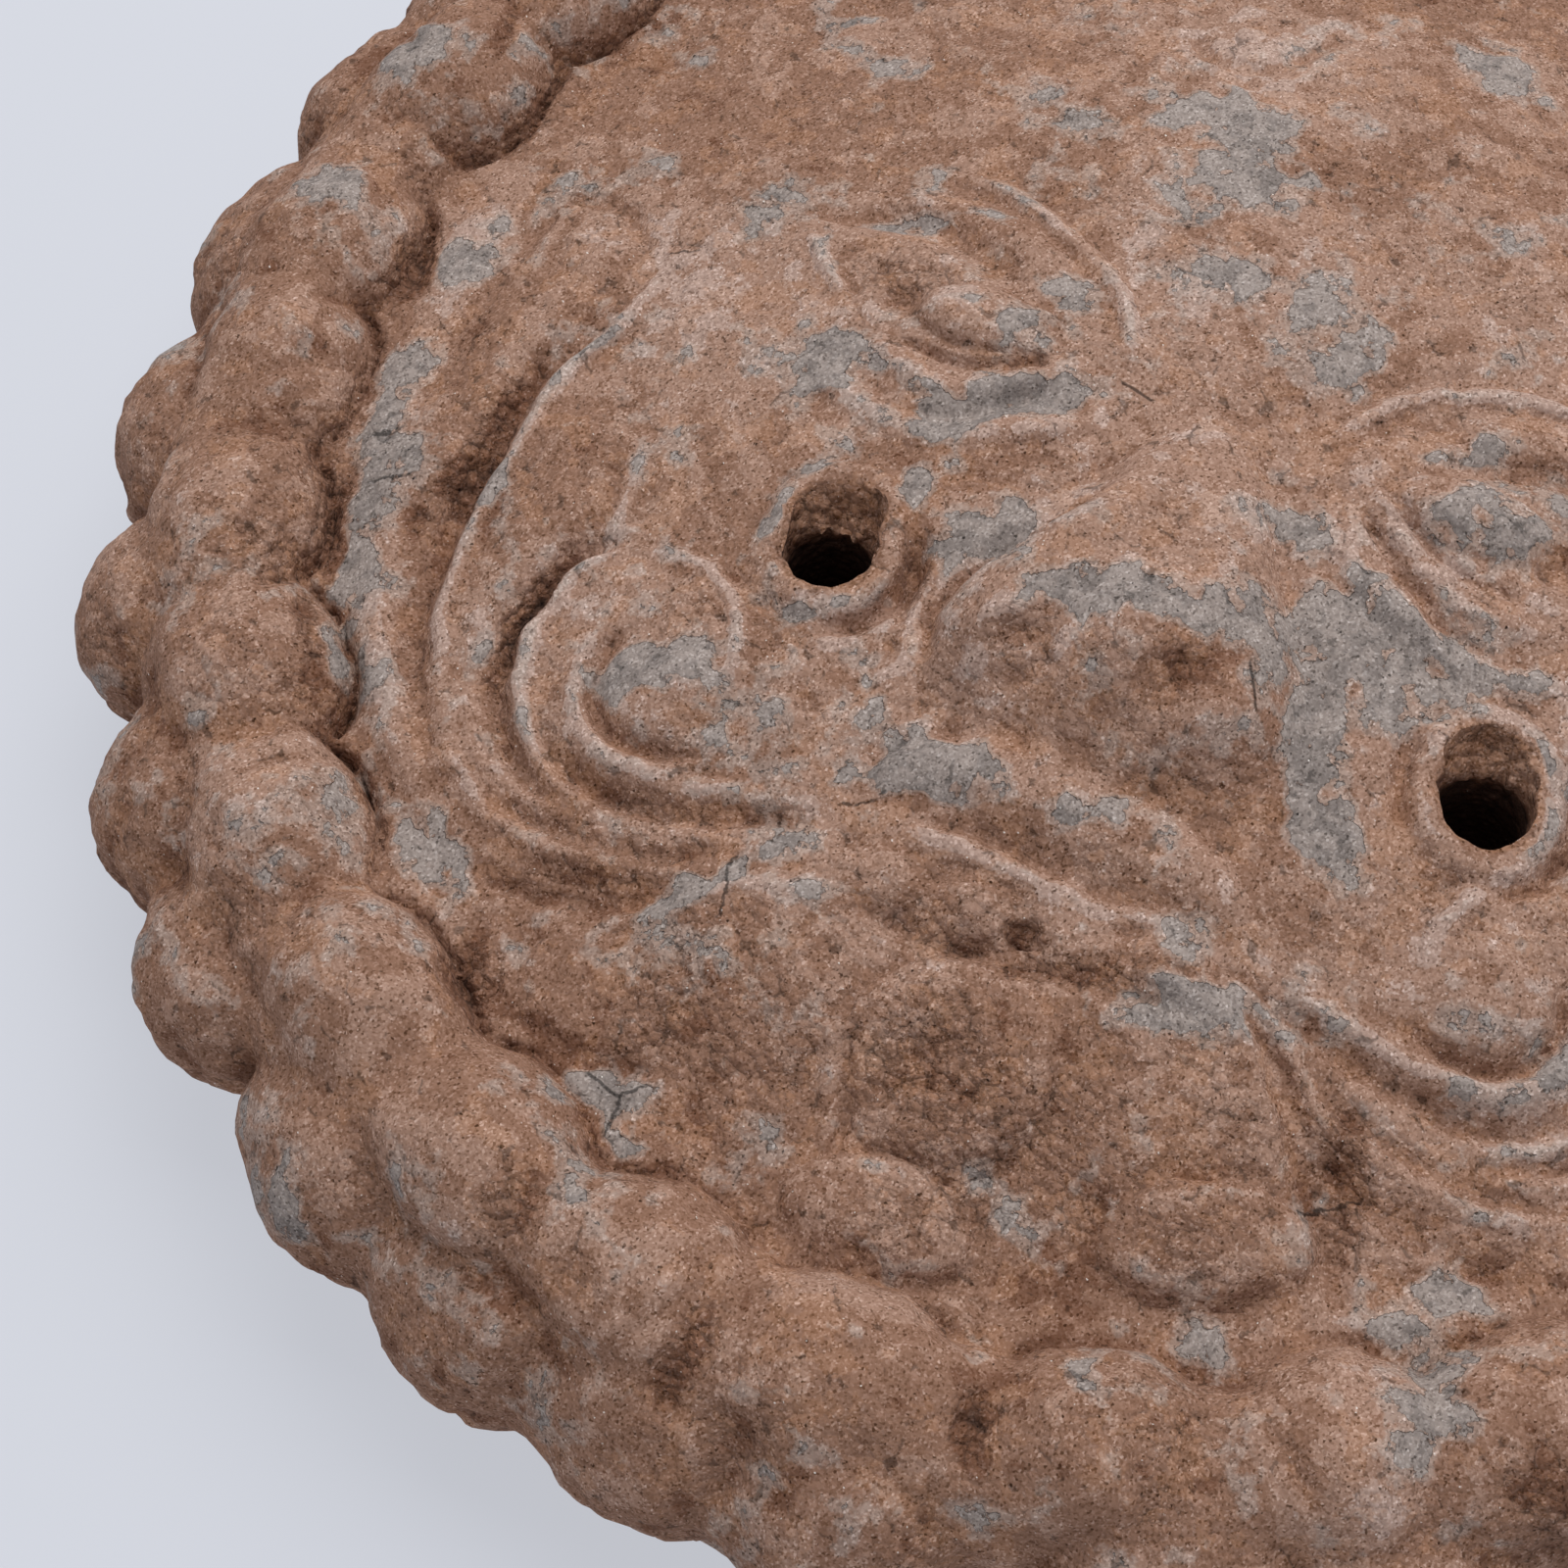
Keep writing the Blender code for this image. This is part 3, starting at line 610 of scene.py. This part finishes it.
def readVerts(mesh, name="position", width=3):
    values = np.empty(len(mesh.vertices) * width, np.float32)
    mesh.attributes[name].data.foreach_get("vector" if width == 3 else "value", values)
    return values.reshape(-1, width).astype(float) if width > 1 else values.astype(float)


def writeShare(mesh, name, values):
    mesh.attributes.new(name, "FLOAT", "POINT").data.foreach_set("value", values.astype(np.float32))


def beadRow(along, around, row, seed):
    # each worn bead differs a little in place, size and height, and runs into the next
    pitch = math.tau / beadCount
    dice = np.random.default_rng(seed)
    length, rise, square = row["length"] * unit, row["rise"] * unit, beadWear["square"]
    rope = np.clip(1 - np.abs((2 * along / length - row["lean"]) / row["rope"]) ** 4, 0, 1) ** 0.8
    total = (rise * row["valley"] * rope) ** row["blend"]
    foot, lee = np.zeros(len(along)), np.zeros(len(along))
    for k in range(beadCount):
        nudge = row["nudges"][k] if k < len(row["nudges"]) else dice.uniform(-1.5, 1.5)
        middle = math.radians(row["start"] + nudge) + k * pitch
        off = (around - middle + math.pi) % math.tau - math.pi
        shift, stretch, tall, wide = dice.uniform(-1, 1, 4)
        near = abs(off) < pitch
        u = (along[near] - beadWear["shift"] * length * shift) / (
            length / 2 * (1.04 + beadWear["stretch"] * stretch))
        v = off[near] / (pitch / 2 * (1.12 + beadWear["wide"] * wide))
        far = (np.abs(u) ** square + np.abs(v) ** square) ** (1 / square)
        crown = np.clip(1 - far ** row["flat"], 0, 1) ** row["round"]
        step = np.exp(-((far - beadWear["stepAt"]) / beadWear["stepHalf"]) ** 2)
        lump = rise * (1 + beadWear["tall"] * tall) * crown - rise * beadWear["stepDepth"] * step
        total[near] += np.maximum(lump, 0) ** row["blend"]
        ditch = np.exp(-((far - 1.0) / 0.07) ** 2) * np.clip(-1.6 * u - 0.3, 0, 1)
        foot[near] = np.maximum(foot[near], ditch)
        crumbled = np.clip(1 - ((v - 0.55) / 0.40) ** 2 - ((u - 0.2 * shift) / 0.75) ** 2, 0, 1)
        lee[near] = np.maximum(lee[near], crumbled * dice.uniform(0.1, 1.0))
    return total ** (1 / row["blend"]), foot, lee


def sculptTile(mesh, faceMiddle, sideMiddle):
    places = readVerts(mesh)
    radius, walked, outward, upward = (readVerts(mesh, name, 1) for name in sectionNames)
    around = np.arctan2(places[:, 1], places[:, 0])
    places[:, 0], places[:, 1] = radius * np.cos(around), radius * np.sin(around)
    front = places[:, 2] > 0.1 * mm

    # the worn outline wanders a little
    wear = surfaceWear
    warp = drift(places, 9, wear["coarseDrift"], 0) + drift(places, 3, wear["fineDrift"], 15)
    bent = around + warp[:, 0] / unit
    faceRow, foot, faceLee = beadRow(walked - faceMiddle + warp[:, 1], bent, faceBeads, 3)
    sideRow, _, sideLee = beadRow(walked - sideMiddle + warp[:, 1], bent, sideBeads, 4)
    between = (faceMiddle + sideMiddle) / 2 - shoulderFill["inward"]
    far = (walked - between + warp[:, 1]) / (shoulderFill["half"] * unit)
    fill = shoulderFill["rise"] * unit * np.clip(1 - far**2, 0, 1)
    rise = sum(form ** wear["merge"] for form in (faceRow, sideRow, fill)) ** (1 / wear["merge"])

    # dark crease along the inner foot of the face beads
    inside = faceMiddle - faceBeads["length"] / 2 * unit
    foot *= 0.3 + 0.7 * np.clip(noiseAt(places, 9 * mm, 8.8) + 0.45, 0, 1)
    foot *= np.clip(1.4 * np.cos(around - math.radians(wear["creaseSide"])), 0.22, 1)
    rise -= wear["crease"] * mm * foot

    face = Relief(layered(places, ((0.0045, 7, 20.5), (0.0035, 2.4, 3)), places[:, 0] / unit),
                  layered(places, ((0.0045, 7, 31.7), (0.0035, 2.4, 7)), places[:, 1] / unit))
    for carveFeature in (carveForehead, carveMane, carveEyes, carveNose, carveMouth):
        carveFeature(face)
    lift = face.height * unit * layered(places, ((0.35, 8, 71),), 0.95)
    for x, y in holeMiddles():
        dx, dy = places[:, 0] - x, places[:, 1] - y
        off = (np.hypot(dx, dy) - mouthReach(dx, dy)) / unit
        toward = (dx * nailHoles["dentWay"][0] + dy * nailHoles["dentWay"][1]) / np.hypot(dx, dy)
        ring = np.clip(1 - ((off - 0.004) / nailHoles["collar"]) ** 2, 0, 1) ** 0.7
        ring *= 0.85 + 0.5 * noiseAt(places, 3.5 * mm, 75)
        dent = np.clip(1 - ((off - 0.033) / 0.013) ** 2, 0, 1) * np.clip(1.9 * toward - 0.9, 0, 1)
        lift += (nailHoles["collarRise"] * ring - nailHoles["dent"] * dent) * unit
    carved = np.clip((inside - walked) / (wear["carvingFade"] * unit), 0, 1)
    lift *= carved

    # where the surface is crumbling, and how rough it is there; heights in millimetres
    lumps = layered(places, ((0.24, 11, 1.3), (0.20, 5.2, 2.2)))
    lee = faceBeads["crumbled"] * faceLee + sideBeads["crumbled"] * sideLee
    lee *= np.clip(layered(places, ((1.2, 4, 51), (0.6, 1.6, 52)), 0.6), 0, 1.2)
    # painted shade: a dark line along the beads' foot crease, where the undercut lies in shade
    lee = np.maximum(lee, 0.85 * foot * np.clip(0.7 + 1.2 * noiseAt(places, 2.2 * mm, 53), 0, 1))
    dark = np.maximum(paintPatches(places, darkPatches), lee)
    crust = layered(places, ((0.9, 13, 6.4),), 0.30) + 1.3 * dark - 0.6 * face.rubbed
    crust = np.clip(crust, 0.0, 1.6) + 0.35 * (walked > inside)
    rough = layered(places, ((0.15, 2.6, 4.4), (0.16, 1.3, 5.5)))
    rough += 0.12 * (0.55 - crumbsAt(places, 2.0 * mm, 9.0))
    rough -= 0.5 * np.clip(0.36 - crumbsAt(places, 4.5 * mm, 12.0), 0, 1)
    flakes = layered(places, ((1, 6, 44), (0.5, 2.4, 45)))
    raised, sunk = np.clip((flakes - 0.05) / 0.10, 0, 1), np.clip((-0.35 - flakes) / 0.08, -1, 0)
    rough += 0.13 * raised + 0.13 * sunk
    rise += (lumps + rough * (0.35 + crust) - 0.35 * dark) * mm * front
    places[:, 0] += outward * rise * np.cos(around)
    places[:, 1] += outward * rise * np.sin(around)
    places[:, 2] += upward * rise * front + lift * front
    mesh.attributes["position"].data.foreach_set("vector", places.astype(np.float32).ravel())
    for name in sectionNames:
        mesh.attributes.remove(mesh.attributes[name])
    # dark earth patches together with the painted shade along the foot crease
    writeShare(mesh, "darkEarthAndCreaseShade", dark)
    writeShare(mesh, "rubbed", face.rubbed * carved)
    mesh.update()


def holeMiddles():
    middle, apart, drop, lean = (nailHoles[name] for name in ("aside", "apart", "drop", "lean"))
    return [(middle + side * apart / 2, -drop - side * lean / 2) for side in (-1, 1)]


def mouthReach(dx, dy):
    # how far out the mouth's edge lies that way; it is broken out on the far side
    way = nailHoles["brokenWay"]
    facing = (dx * way[0] + dy * way[1]) / np.maximum(np.hypot(dx, dy), 0.1 * mm)
    return nailHoles["across"] / 2 + nailHoles["broken"] * np.clip(1.9 * facing - 0.75, 0, 1)


def makeHoleCutter(x, y, seed):
    # a bore with a broken mouth, whose far wall slopes out under a ragged crust of earth
    bm = bmesh.new()
    radius, bore = nailHoles["across"] / 2, nailHoles["bore"]
    bmesh.ops.create_cone(bm, cap_ends=True, segments=nailHoles["boreSides"], radius1=radius,
                          radius2=radius, depth=bore)
    upright = [e for e in bm.edges if abs(e.verts[0].co.z - e.verts[1].co.z) > 0.9 * bore]
    bmesh.ops.subdivide_edges(bm, edges=upright, cuts=nailHoles["boreCuts"], use_grid_fill=True)
    bmesh.ops.translate(bm, verts=bm.verts, vec=(x, y, nailHoles["boreMiddle"]))
    places = np.array([v.co for v in bm.verts])
    out = places[:, :2] - (x, y)
    out /= np.maximum(np.hypot(*out.T), 0.1 * mm)[:, None]
    height = places[:, 2] / mm
    bump = layered(places, ((0.14, 3.0, seed), (0.05, 1.2, seed + 3)))
    mouth = np.clip((height - nailHoles["mouth"]) / 2.2, 0, 1)
    bump -= 0.52 * np.clip((height - nailHoles["neck"]) / 4, 0, 1)
    bump += mouth * layered(places, ((0.22, 2.4, seed + 9), (0.24, 1.0, seed + 12)), 0.08)
    spread = (mouthReach(*out.T) - radius) / nailHoles["broken"]
    ragged = layered(places, ((1, 1.9, seed + 15), (0.8, 0.8, seed + 18)))
    slope = np.clip((height - nailHoles["slope"] - 0.7 * ragged) / 2.2, 0, 1.4)
    lip = np.clip(1 - abs(height - nailHoles["lip"]) / 1.2, 0, 1) * np.clip(0.6 + 1.1 * ragged, 0, 1.4)
    ragged *= height > nailHoles["ragged"]
    bump += spread * (1.5 * slope + 0.40 * ragged - 1.15 * lip)
    for vert, way, move in zip(bm.verts, out, np.maximum(bump, nailHoles["inmost"]) * mm):
        vert.co += Vector((way[0], way[1], 0)) * move
    mesh = bpy.data.meshes.new("nail hole cutter")
    bm.to_mesh(mesh)
    bm.free()
    cutter = bpy.data.objects.new("nail hole cutter", mesh)
    bpy.context.scene.collection.objects.link(cutter)
    return cutter


def thinAndPierce(mesh):
    tile = bpy.data.objects.new("tile work", mesh)
    bpy.context.scene.collection.objects.link(tile)
    thin = tile.modifiers.new("thin", "DECIMATE")
    thin.ratio = tileForm["triangles"] / len(mesh.polygons)
    cutters = [makeHoleCutter(x, y, 40 + 7 * k) for k, (x, y) in enumerate(holeMiddles())]
    for cutter in cutters:
        cut = tile.modifiers.new("nail hole", "BOOLEAN")
        cut.operation = "DIFFERENCE"
        cut.solver = "MANIFOLD"
        cut.object = cutter
    graph = bpy.context.evaluated_depsgraph_get()
    finished = bpy.data.meshes.new_from_object(tile.evaluated_get(graph))
    for helper in (tile, *cutters):
        bpy.data.objects.remove(helper)
    return finished


# What the surface's own shape tells the finish

def neighbourMean(edges, values):
    ends = edges.ravel()
    others = edges[:, ::-1].ravel()
    count = np.maximum(np.bincount(ends, minlength=len(values)), 1)
    means = [np.bincount(ends, column[others], len(values)) / count for column in values.T]
    return np.stack(means, axis=1)


def measureHollows(mesh, places):
    # positive in a hollow, negative on an edge, first at the scale of grooves, then of whole forms
    edges = np.empty(len(mesh.edges) * 2, np.int32)
    mesh.edges.foreach_get("vertices", edges)
    edges = edges.reshape(-1, 2)
    normals = np.empty(len(places) * 3, np.float32)
    mesh.vertex_normals.foreach_get("vector", normals)
    normals = normals.reshape(-1, 3)
    smooth, done, depths = places, 0, []
    for rounds, scale in ((4, 0.10 * mm), (60, 0.45 * mm)):
        for _ in range(rounds - done):
            smooth = 0.5 * smooth + 0.5 * neighbourMean(edges, smooth)
        done = rounds
        depth = ((smooth - places) * normals).sum(axis=1) / scale
        depths.append(neighbourMean(edges, np.clip(depth, -1.5, 1.5)[:, None])[:, 0])
    return depths


def cloudsAt(points, size, shift, octaves=4):
    return sum(noiseAt(points, size / 2**k, shift + 7 * k) * 0.62**k for k in range(octaves)) * 0.5


def insideHoles(places):
    # 1 within a hole and on the broken slope at its mouth
    inside = np.zeros(len(places))
    for x, y in holeMiddles():
        dx, dy = places[:, 0] - x, places[:, 1] - y
        near = (mouthReach(dx, dy) - np.hypot(dx, dy)) / (0.5 * mm) + 0.4
        inside = np.maximum(inside, np.clip(layered(places, ((0.5, 1.1, 67),), near), 0, 1))
    return inside


weathering = {  # the jowls are crusted, earth fills the holes, and their depths are painted black as shade
    "jowls": ((0.175, -0.661), (-0.235, -0.656), (-0.024, -0.706)), "jowlReach": 0.13,  # shares of unit
    "paintedShadeBelow": 25.3 * mm, "paintedShadeOver": 2.0 * mm,
}


def weather(mesh):
    # where the earth crust is thin, where bare grey clay shows, where dirt lies, and where shade is
    # painted into hollows, creases and the depths of the holes
    places = readVerts(mesh)
    x, y = places[:, 0] / unit, places[:, 1] / unit
    rubbed = readVerts(mesh, "rubbed", 1) ** 1.5
    groove, form = measureHollows(mesh, places)
    dark = readVerts(mesh, "darkEarthAndCreaseShade", 1)
    broken = layered(places, ((0.8, 2.4, 65), (0.5, 1.2, 66)), 0.86)
    grey = paintPatches(places, greyPatches) * np.clip(broken, 0, 1.15)
    inside = insideHoles(places)
    # painted shade: deep within the holes the clay is painted black
    deep = inside * np.clip((weathering["paintedShadeBelow"] - places[:, 2]) / weathering["paintedShadeOver"], 0, 1)
    thin = 0.36 * cloudsAt(places, 17 * mm, 3, 2) + 0.34 * cloudsAt(places, 3 * mm, 4, 3)
    thin += 0.07 * x - 0.15 * np.clip(np.hypot(x, y) * 2 - 0.9, 0, 1)
    writeShare(mesh, "thin", 0.52 + thin - 0.13 * groove + 0.34 * rubbed - 0.26 * dark - 0.28 * inside)
    bare = 0.50 * cloudsAt(places, 7 * mm, 5, 4) + 0.42 * grey - 0.35 * dark - 0.8 * inside
    writeShare(mesh, "bare", bare + 0.10 * rubbed - 0.06 * groove)
    # dirt and painted shade: groove and form paint shade into creases and hollows, dark brings dark earth
    # and the painted shade of the beads' foot crease, inside brings the earth in the holes, deep paints
    # their depths black
    writeShare(mesh, "dirtAndShade", 0.26 * groove + 0.22 * form + 0.80 * dark + 0.4 * inside + 1.3 * deep)
    writeShare(mesh, "rusty", 0.5 * cloudsAt(places, 3.5 * mm, 6, 3) + 0.04 * groove + 0.2 * inside)
    jowls = sum(np.clip(1.4 - np.hypot(x - cx, y - cy) / weathering["jowlReach"], 0, 1)
                for cx, cy in weathering["jowls"])
    crusted = 0.45 * jowls + 0.35 + cloudsAt(places, 9 * mm, 8, 2) + 0.25 * groove
    crusted += dark - 0.5 * rubbed - 0.5 * grey + 0.6 * inside
    writeShare(mesh, "crusted", np.clip(crusted, 0, 1.3))
    cracked = np.zeros(len(places))
    for cx, cy, half in crackedSpots:
        cracked = np.maximum(cracked, np.clip(1.5 - np.hypot(x - cx, y - cy) / half, 0, 1))
    writeShare(mesh, "cracked", cracked * (1 - inside))
    for name in ("rubbed", "darkEarthAndCreaseShade"):
        mesh.attributes.remove(mesh.attributes[name])


# Shader sums

class Wire:
    def __init__(self, finish, socket):
        self.finish = finish
        self.socket = socket

    def sum(self, operation, first, second):
        return self.finish.add("ShaderNodeMath", {"operation": operation}, {0: first, 1: second})

    def __add__(self, other):
        return self.sum("ADD", self, other)

    def __sub__(self, other):
        return self.sum("SUBTRACT", self, other)

    def __rsub__(self, other):
        return self.sum("SUBTRACT", other, self)

    def __mul__(self, other):
        return self.sum("MULTIPLY", self, other)

    __radd__ = __add__
    __rmul__ = __mul__


class Finish:
    def __init__(self, name):
        self.material = bpy.data.materials.new(name)
        self.material.use_nodes = True
        self.tree = self.material.node_tree
        self.shader = self.tree.nodes["Principled BSDF"]

    def add(self, kind, settings, inputs, output=0):
        node = self.tree.nodes.new(kind)
        for name, value in settings.items():
            setattr(node, name, value)
        for name, value in inputs.items():
            self.set(node.inputs[name], value)
        return Wire(self, node.outputs[output])

    def set(self, socket, value):
        if isinstance(value, Wire):
            self.tree.links.new(value.socket, socket)
        else:
            socket.default_value = value

    def place(self):
        return self.add("ShaderNodeTexCoord", {}, {}, "Object")

    def noise(self, where, size, detail, rough):
        inputs = {"Vector": where, "Scale": 1 / size, "Detail": detail, "Roughness": rough}
        return self.add("ShaderNodeTexNoise", {}, inputs, "Fac")

    def cells(self, where, size, feature="F1", output="Distance"):
        inputs = {"Vector": where, "Scale": 1 / size, "Randomness": 1.0}
        return self.add("ShaderNodeTexVoronoi", {"feature": feature}, inputs, output)

    def between(self, value, start, end):
        settings = {"clamp": True, "interpolation_type": "SMOOTHSTEP"}
        inputs = {"Value": value, "From Min": start, "From Max": end}
        return self.add("ShaderNodeMapRange", settings, inputs)

    def blend(self, factor, first, second):
        return self.add("ShaderNodeMix", {"data_type": "RGBA"}, {0: factor, 6: first, 7: second}, 2)

    def read(self, name):
        return self.add("ShaderNodeAttribute", {"attribute_name": name}, {}, "Fac")

    def bump(self, height, strength, distance):
        inputs = {"Height": height, "Strength": strength, "Distance": distance}
        return self.add("ShaderNodeBump", {}, inputs)


clayColours = {
    "rust": (0.200, 0.096, 0.058, 1), "brown": (0.290, 0.158, 0.104, 1),
    "sienna": (0.372, 0.222, 0.158, 1), "pink": (0.452, 0.308, 0.246, 1),
    "pale": (0.525, 0.405, 0.342, 1), "grey": (0.332, 0.280, 0.250, 1),
    "slate": (0.228, 0.196, 0.178, 1), "film": (0.425, 0.345, 0.298, 1),
    # the near-black colour serves dark earth and painted shade
    "ochre": (0.430, 0.222, 0.126, 1), "blackEarthAndShade": (0.046, 0.024, 0.017, 1),
    "fleck": (0.85, 0.79, 0.72, 1),
}
clayLayers = {  # colour, the two values between which it comes in, and how fully
    "crust": (("brown", 0.16, 0.27, 1.0), ("sienna", 0.42, 0.475, 1.0),
              ("pink", 0.62, 0.67, 1.0), ("pale", 0.82, 0.96, 0.7)),
    "rusty": (("ochre", 0.06, 0.11, 0.32),),
    "film": (("film", 0.07, 0.17, 0.45),),
    # deep red, then near black, where dirt lies and where shade is painted
    "dirtAndShade": (("rust", 0.40, 1.05, 0.65), ("blackEarthAndShade", 1.05, 1.80, 0.88)),
}
clayPattern = {
    "mottle": 1.9 * mm, "bend": (1.8 * mm, -1.4 * mm, 1.1 * mm), "grain": 0.15 * mm,
    "crumb": 0.85 * mm, "wrinkle": 1.25 * mm, "crack": 9.0 * mm,
}


def layColours(clay, colour, value, layers):
    for name, start, end, share in layers:
        colour = clay.blend(clay.between(value, start, end) * share, colour, clayColours[name])
    return colour


def makeClay():
    clay = Finish("fired clay under earth crust")
    place = clay.place()
    mottle = clay.noise(place, clayPattern["mottle"], 5, 0.62) - 0.5
    bent = clay.add("ShaderNodeVectorMath", {"operation": "MULTIPLY_ADD"},
                    {0: mottle, 1: clayPattern["bend"], 2: place})
    grain = clay.cells(place, clayPattern["grain"], output="Color") - 0.5
    dots = clay.cells(bent, clayPattern["crumb"])
    crumbs = 0.5 - dots
    crusted = clay.read("crusted")
    thin = clay.read("thin") + 0.54 * mottle + 0.05 * grain
    # dirt and painted shade, with more painted shade between the crumbs
    dirtAndShade = clay.read("dirtAndShade") + 0.9 * mottle - 0.6 * crumbs

    # from deep red crust in the hollows to pale rubbed edges
    colour = layColours(clay, clayColours["rust"], thin, clayLayers["crust"])
    colour = layColours(clay, colour, clay.read("rusty") + 0.9 * mottle, clayLayers["rusty"])

    # crisp flakes where the crust is off, with painted shade along their edge
    stripped = clay.read("bare") + 0.70 * mottle
    bare = clay.between(stripped, 0.205, 0.235)
    # the ring of painted shade along each flake's edge
    edge = bare * (1 - bare) * 4
    colour = layColours(clay, colour, stripped, clayLayers["film"])
    greys = clay.blend(clay.between(mottle, -0.06, 0.06), clayColours["slate"], clayColours["grey"])
    colour = clay.blend(bare * 0.88, colour, greys)
    # darkens where dirt lies and where shade is painted into hollows, creases and the holes
    colour = layColours(clay, colour, dirtAndShade, clayLayers["dirtAndShade"])

    # sandy grains, hairline cracks, a few bright specks, and painted shade between the crumbs, in the
    # hollows among them and in the seams of the crust's wrinkles
    split = clay.cells(bent, clayPattern["crack"], "DISTANCE_TO_EDGE")
    cracked = clay.between(clay.read("cracked") + mottle, 0.45, 0.6)
    crack = (1 - clay.between(split, 0.006, 0.019)) * cracked
    # painted shade: dark lines in the seams between the crust's wrinkles
    seam = clay.cells(bent, clayPattern["wrinkle"], "DISTANCE_TO_EDGE")
    wrinkle = (1 - clay.between(seam, 0.02, 0.09)) * clay.between(crusted + 1.5 * mottle, 0.66, 1.02)
    # painted shade in the small hollows among the crumbs
    crumbHollowShade = clay.between(dots, 0.80, 0.92)
    sand = 0.42 * grain + 4.8 * grain * grain * grain
    # painted shade: lighter on the crumbs and darker between them
    value = 0.895 + 0.10 * mottle + sand + (0.04 + 0.24 * crusted) * crumbs
    value = value * (1 - 0.7 * crack) * (1 - 0.45 * crumbHollowShade) * (1 - 0.14 * edge) * (1 - 0.24 * wrinkle)
    tone = clay.add("ShaderNodeHueSaturation", {}, {
        "Hue": 0.5, "Saturation": 1.01 - 0.35 * sand, "Value": value, "Fac": 1.0, "Color": colour,
    })
    sparkle = (1 - clay.between(dots, 0.045, 0.085)) * (1 - clay.between(mottle, -0.07, -0.04))
    clay.set(clay.shader.inputs["Base Color"], clay.blend(sparkle * 0.85, tone, clayColours["fleck"]))
    clay.set(clay.shader.inputs["Roughness"], 0.97 - 0.12 * bare)

    # heights in millimetres
    height = 0.22 * mottle + (0.04 + 0.42 * crusted) * crumbs - 0.12 * bare
    clay.set(clay.shader.inputs["Normal"], clay.bump(height, 1.0, 1.0 * mm))
    clay.shader.inputs["Specular IOR Level"].default_value = 0.2
    return clay.material


def makeTile():
    mesh, faceMiddle, sideMiddle = spinBlank(tileForm)
    print("tile blank", len(mesh.polygons))
    sculptTile(mesh, faceMiddle, sideMiddle)
    mesh = thinAndPierce(mesh)
    print("tile carved", len(mesh.polygons))
    weather(mesh)
    mesh.materials.clear()
    mesh.materials.append(makeClay())
    mesh.shade_smooth()
    mesh.set_sharp_from_angle(angle=math.radians(tileForm["sharpFrom"]))
    mesh.name = "carvedTile"
    tile = bpy.data.objects.new("carvedTile", mesh)
    bpy.context.scene.collection.objects.link(tile)
    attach(tile, "root")
    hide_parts("eaves_tile")


makeTile()
print("tile done")


# Floor and light

studio = {
    "floorHalf": 1.2, "floorColour": (0.165, 0.170, 0.185, 1), "floorGlow": 2.9,
    "floorClouds": 60 * mm, "cloudShade": 0.985,
    "underTile": (0.004, 0.004, 0.004, 1), "glowFrom": 0.6 * unit, "glowFull": 1.0 * unit,
    "skyColour": (0.90, 0.93, 1.0, 1), "skyStrength": 0.52,
    "keyFrom": (0.20, 0.46, 0.88), "keyDistance": 1.0, "keySize": 0.9, "keyPower": 9.0,
    "keyTurn": 23.9,  # degrees about the upright
}


def makeFloor():
    bm = bmesh.new()
    bmesh.ops.create_grid(bm, x_segments=2, y_segments=2, size=studio["floorHalf"])
    mesh = bpy.data.meshes.new("floor")
    bm.to_mesh(mesh)
    bm.free()
    paper = Finish("pale floor")
    where = paper.place()
    clouds = paper.noise(where, studio["floorClouds"], 3, 0.5)
    shaded = tuple(studio["cloudShade"] * c for c in studio["floorColour"][:3]) + (1,)
    paper.set(paper.shader.inputs["Base Color"], paper.blend(clouds, studio["floorColour"], shaded))
    paper.shader.inputs["Roughness"].default_value = 0.85
    # no glow under the tile, where only its nail holes show the floor
    off = paper.add("ShaderNodeVectorMath", {"operation": "LENGTH"}, {0: where}, "Value")
    clear = paper.between(off, studio["glowFrom"], studio["glowFull"])
    glow = paper.blend(clear, studio["underTile"], studio["floorColour"])
    paper.set(paper.shader.inputs["Emission Color"], glow)
    paper.shader.inputs["Emission Strength"].default_value = studio["floorGlow"]
    mesh.materials.append(paper.material)
    floor = bpy.data.objects.new("floor", mesh)
    bpy.context.scene.collection.objects.link(floor)


def makeLight():
    world = bpy.data.worlds.new("studio")
    world.use_nodes = True
    sky = world.node_tree.nodes["Background"]
    sky.inputs["Color"].default_value = studio["skyColour"]
    sky.inputs["Strength"].default_value = studio["skyStrength"]
    bpy.context.scene.world = world
    lamp = bpy.data.lights.new("soft box", "AREA")
    lamp.size = studio["keySize"]
    lamp.energy = studio["keyPower"]
    box = bpy.data.objects.new("soft box", lamp)
    turned = Quaternion((0, 0, 1), math.radians(studio["keyTurn"]))
    away = (turned @ Vector(studio["keyFrom"])).normalized()
    box.location = away * studio["keyDistance"]
    box.rotation_mode = "QUATERNION"
    box.rotation_quaternion = away.to_track_quat("Z", "Y")
    bpy.context.scene.collection.objects.link(box)
    bpy.context.scene.view_settings.view_transform = "Standard"


makeFloor()
makeLight()
print("stage done")
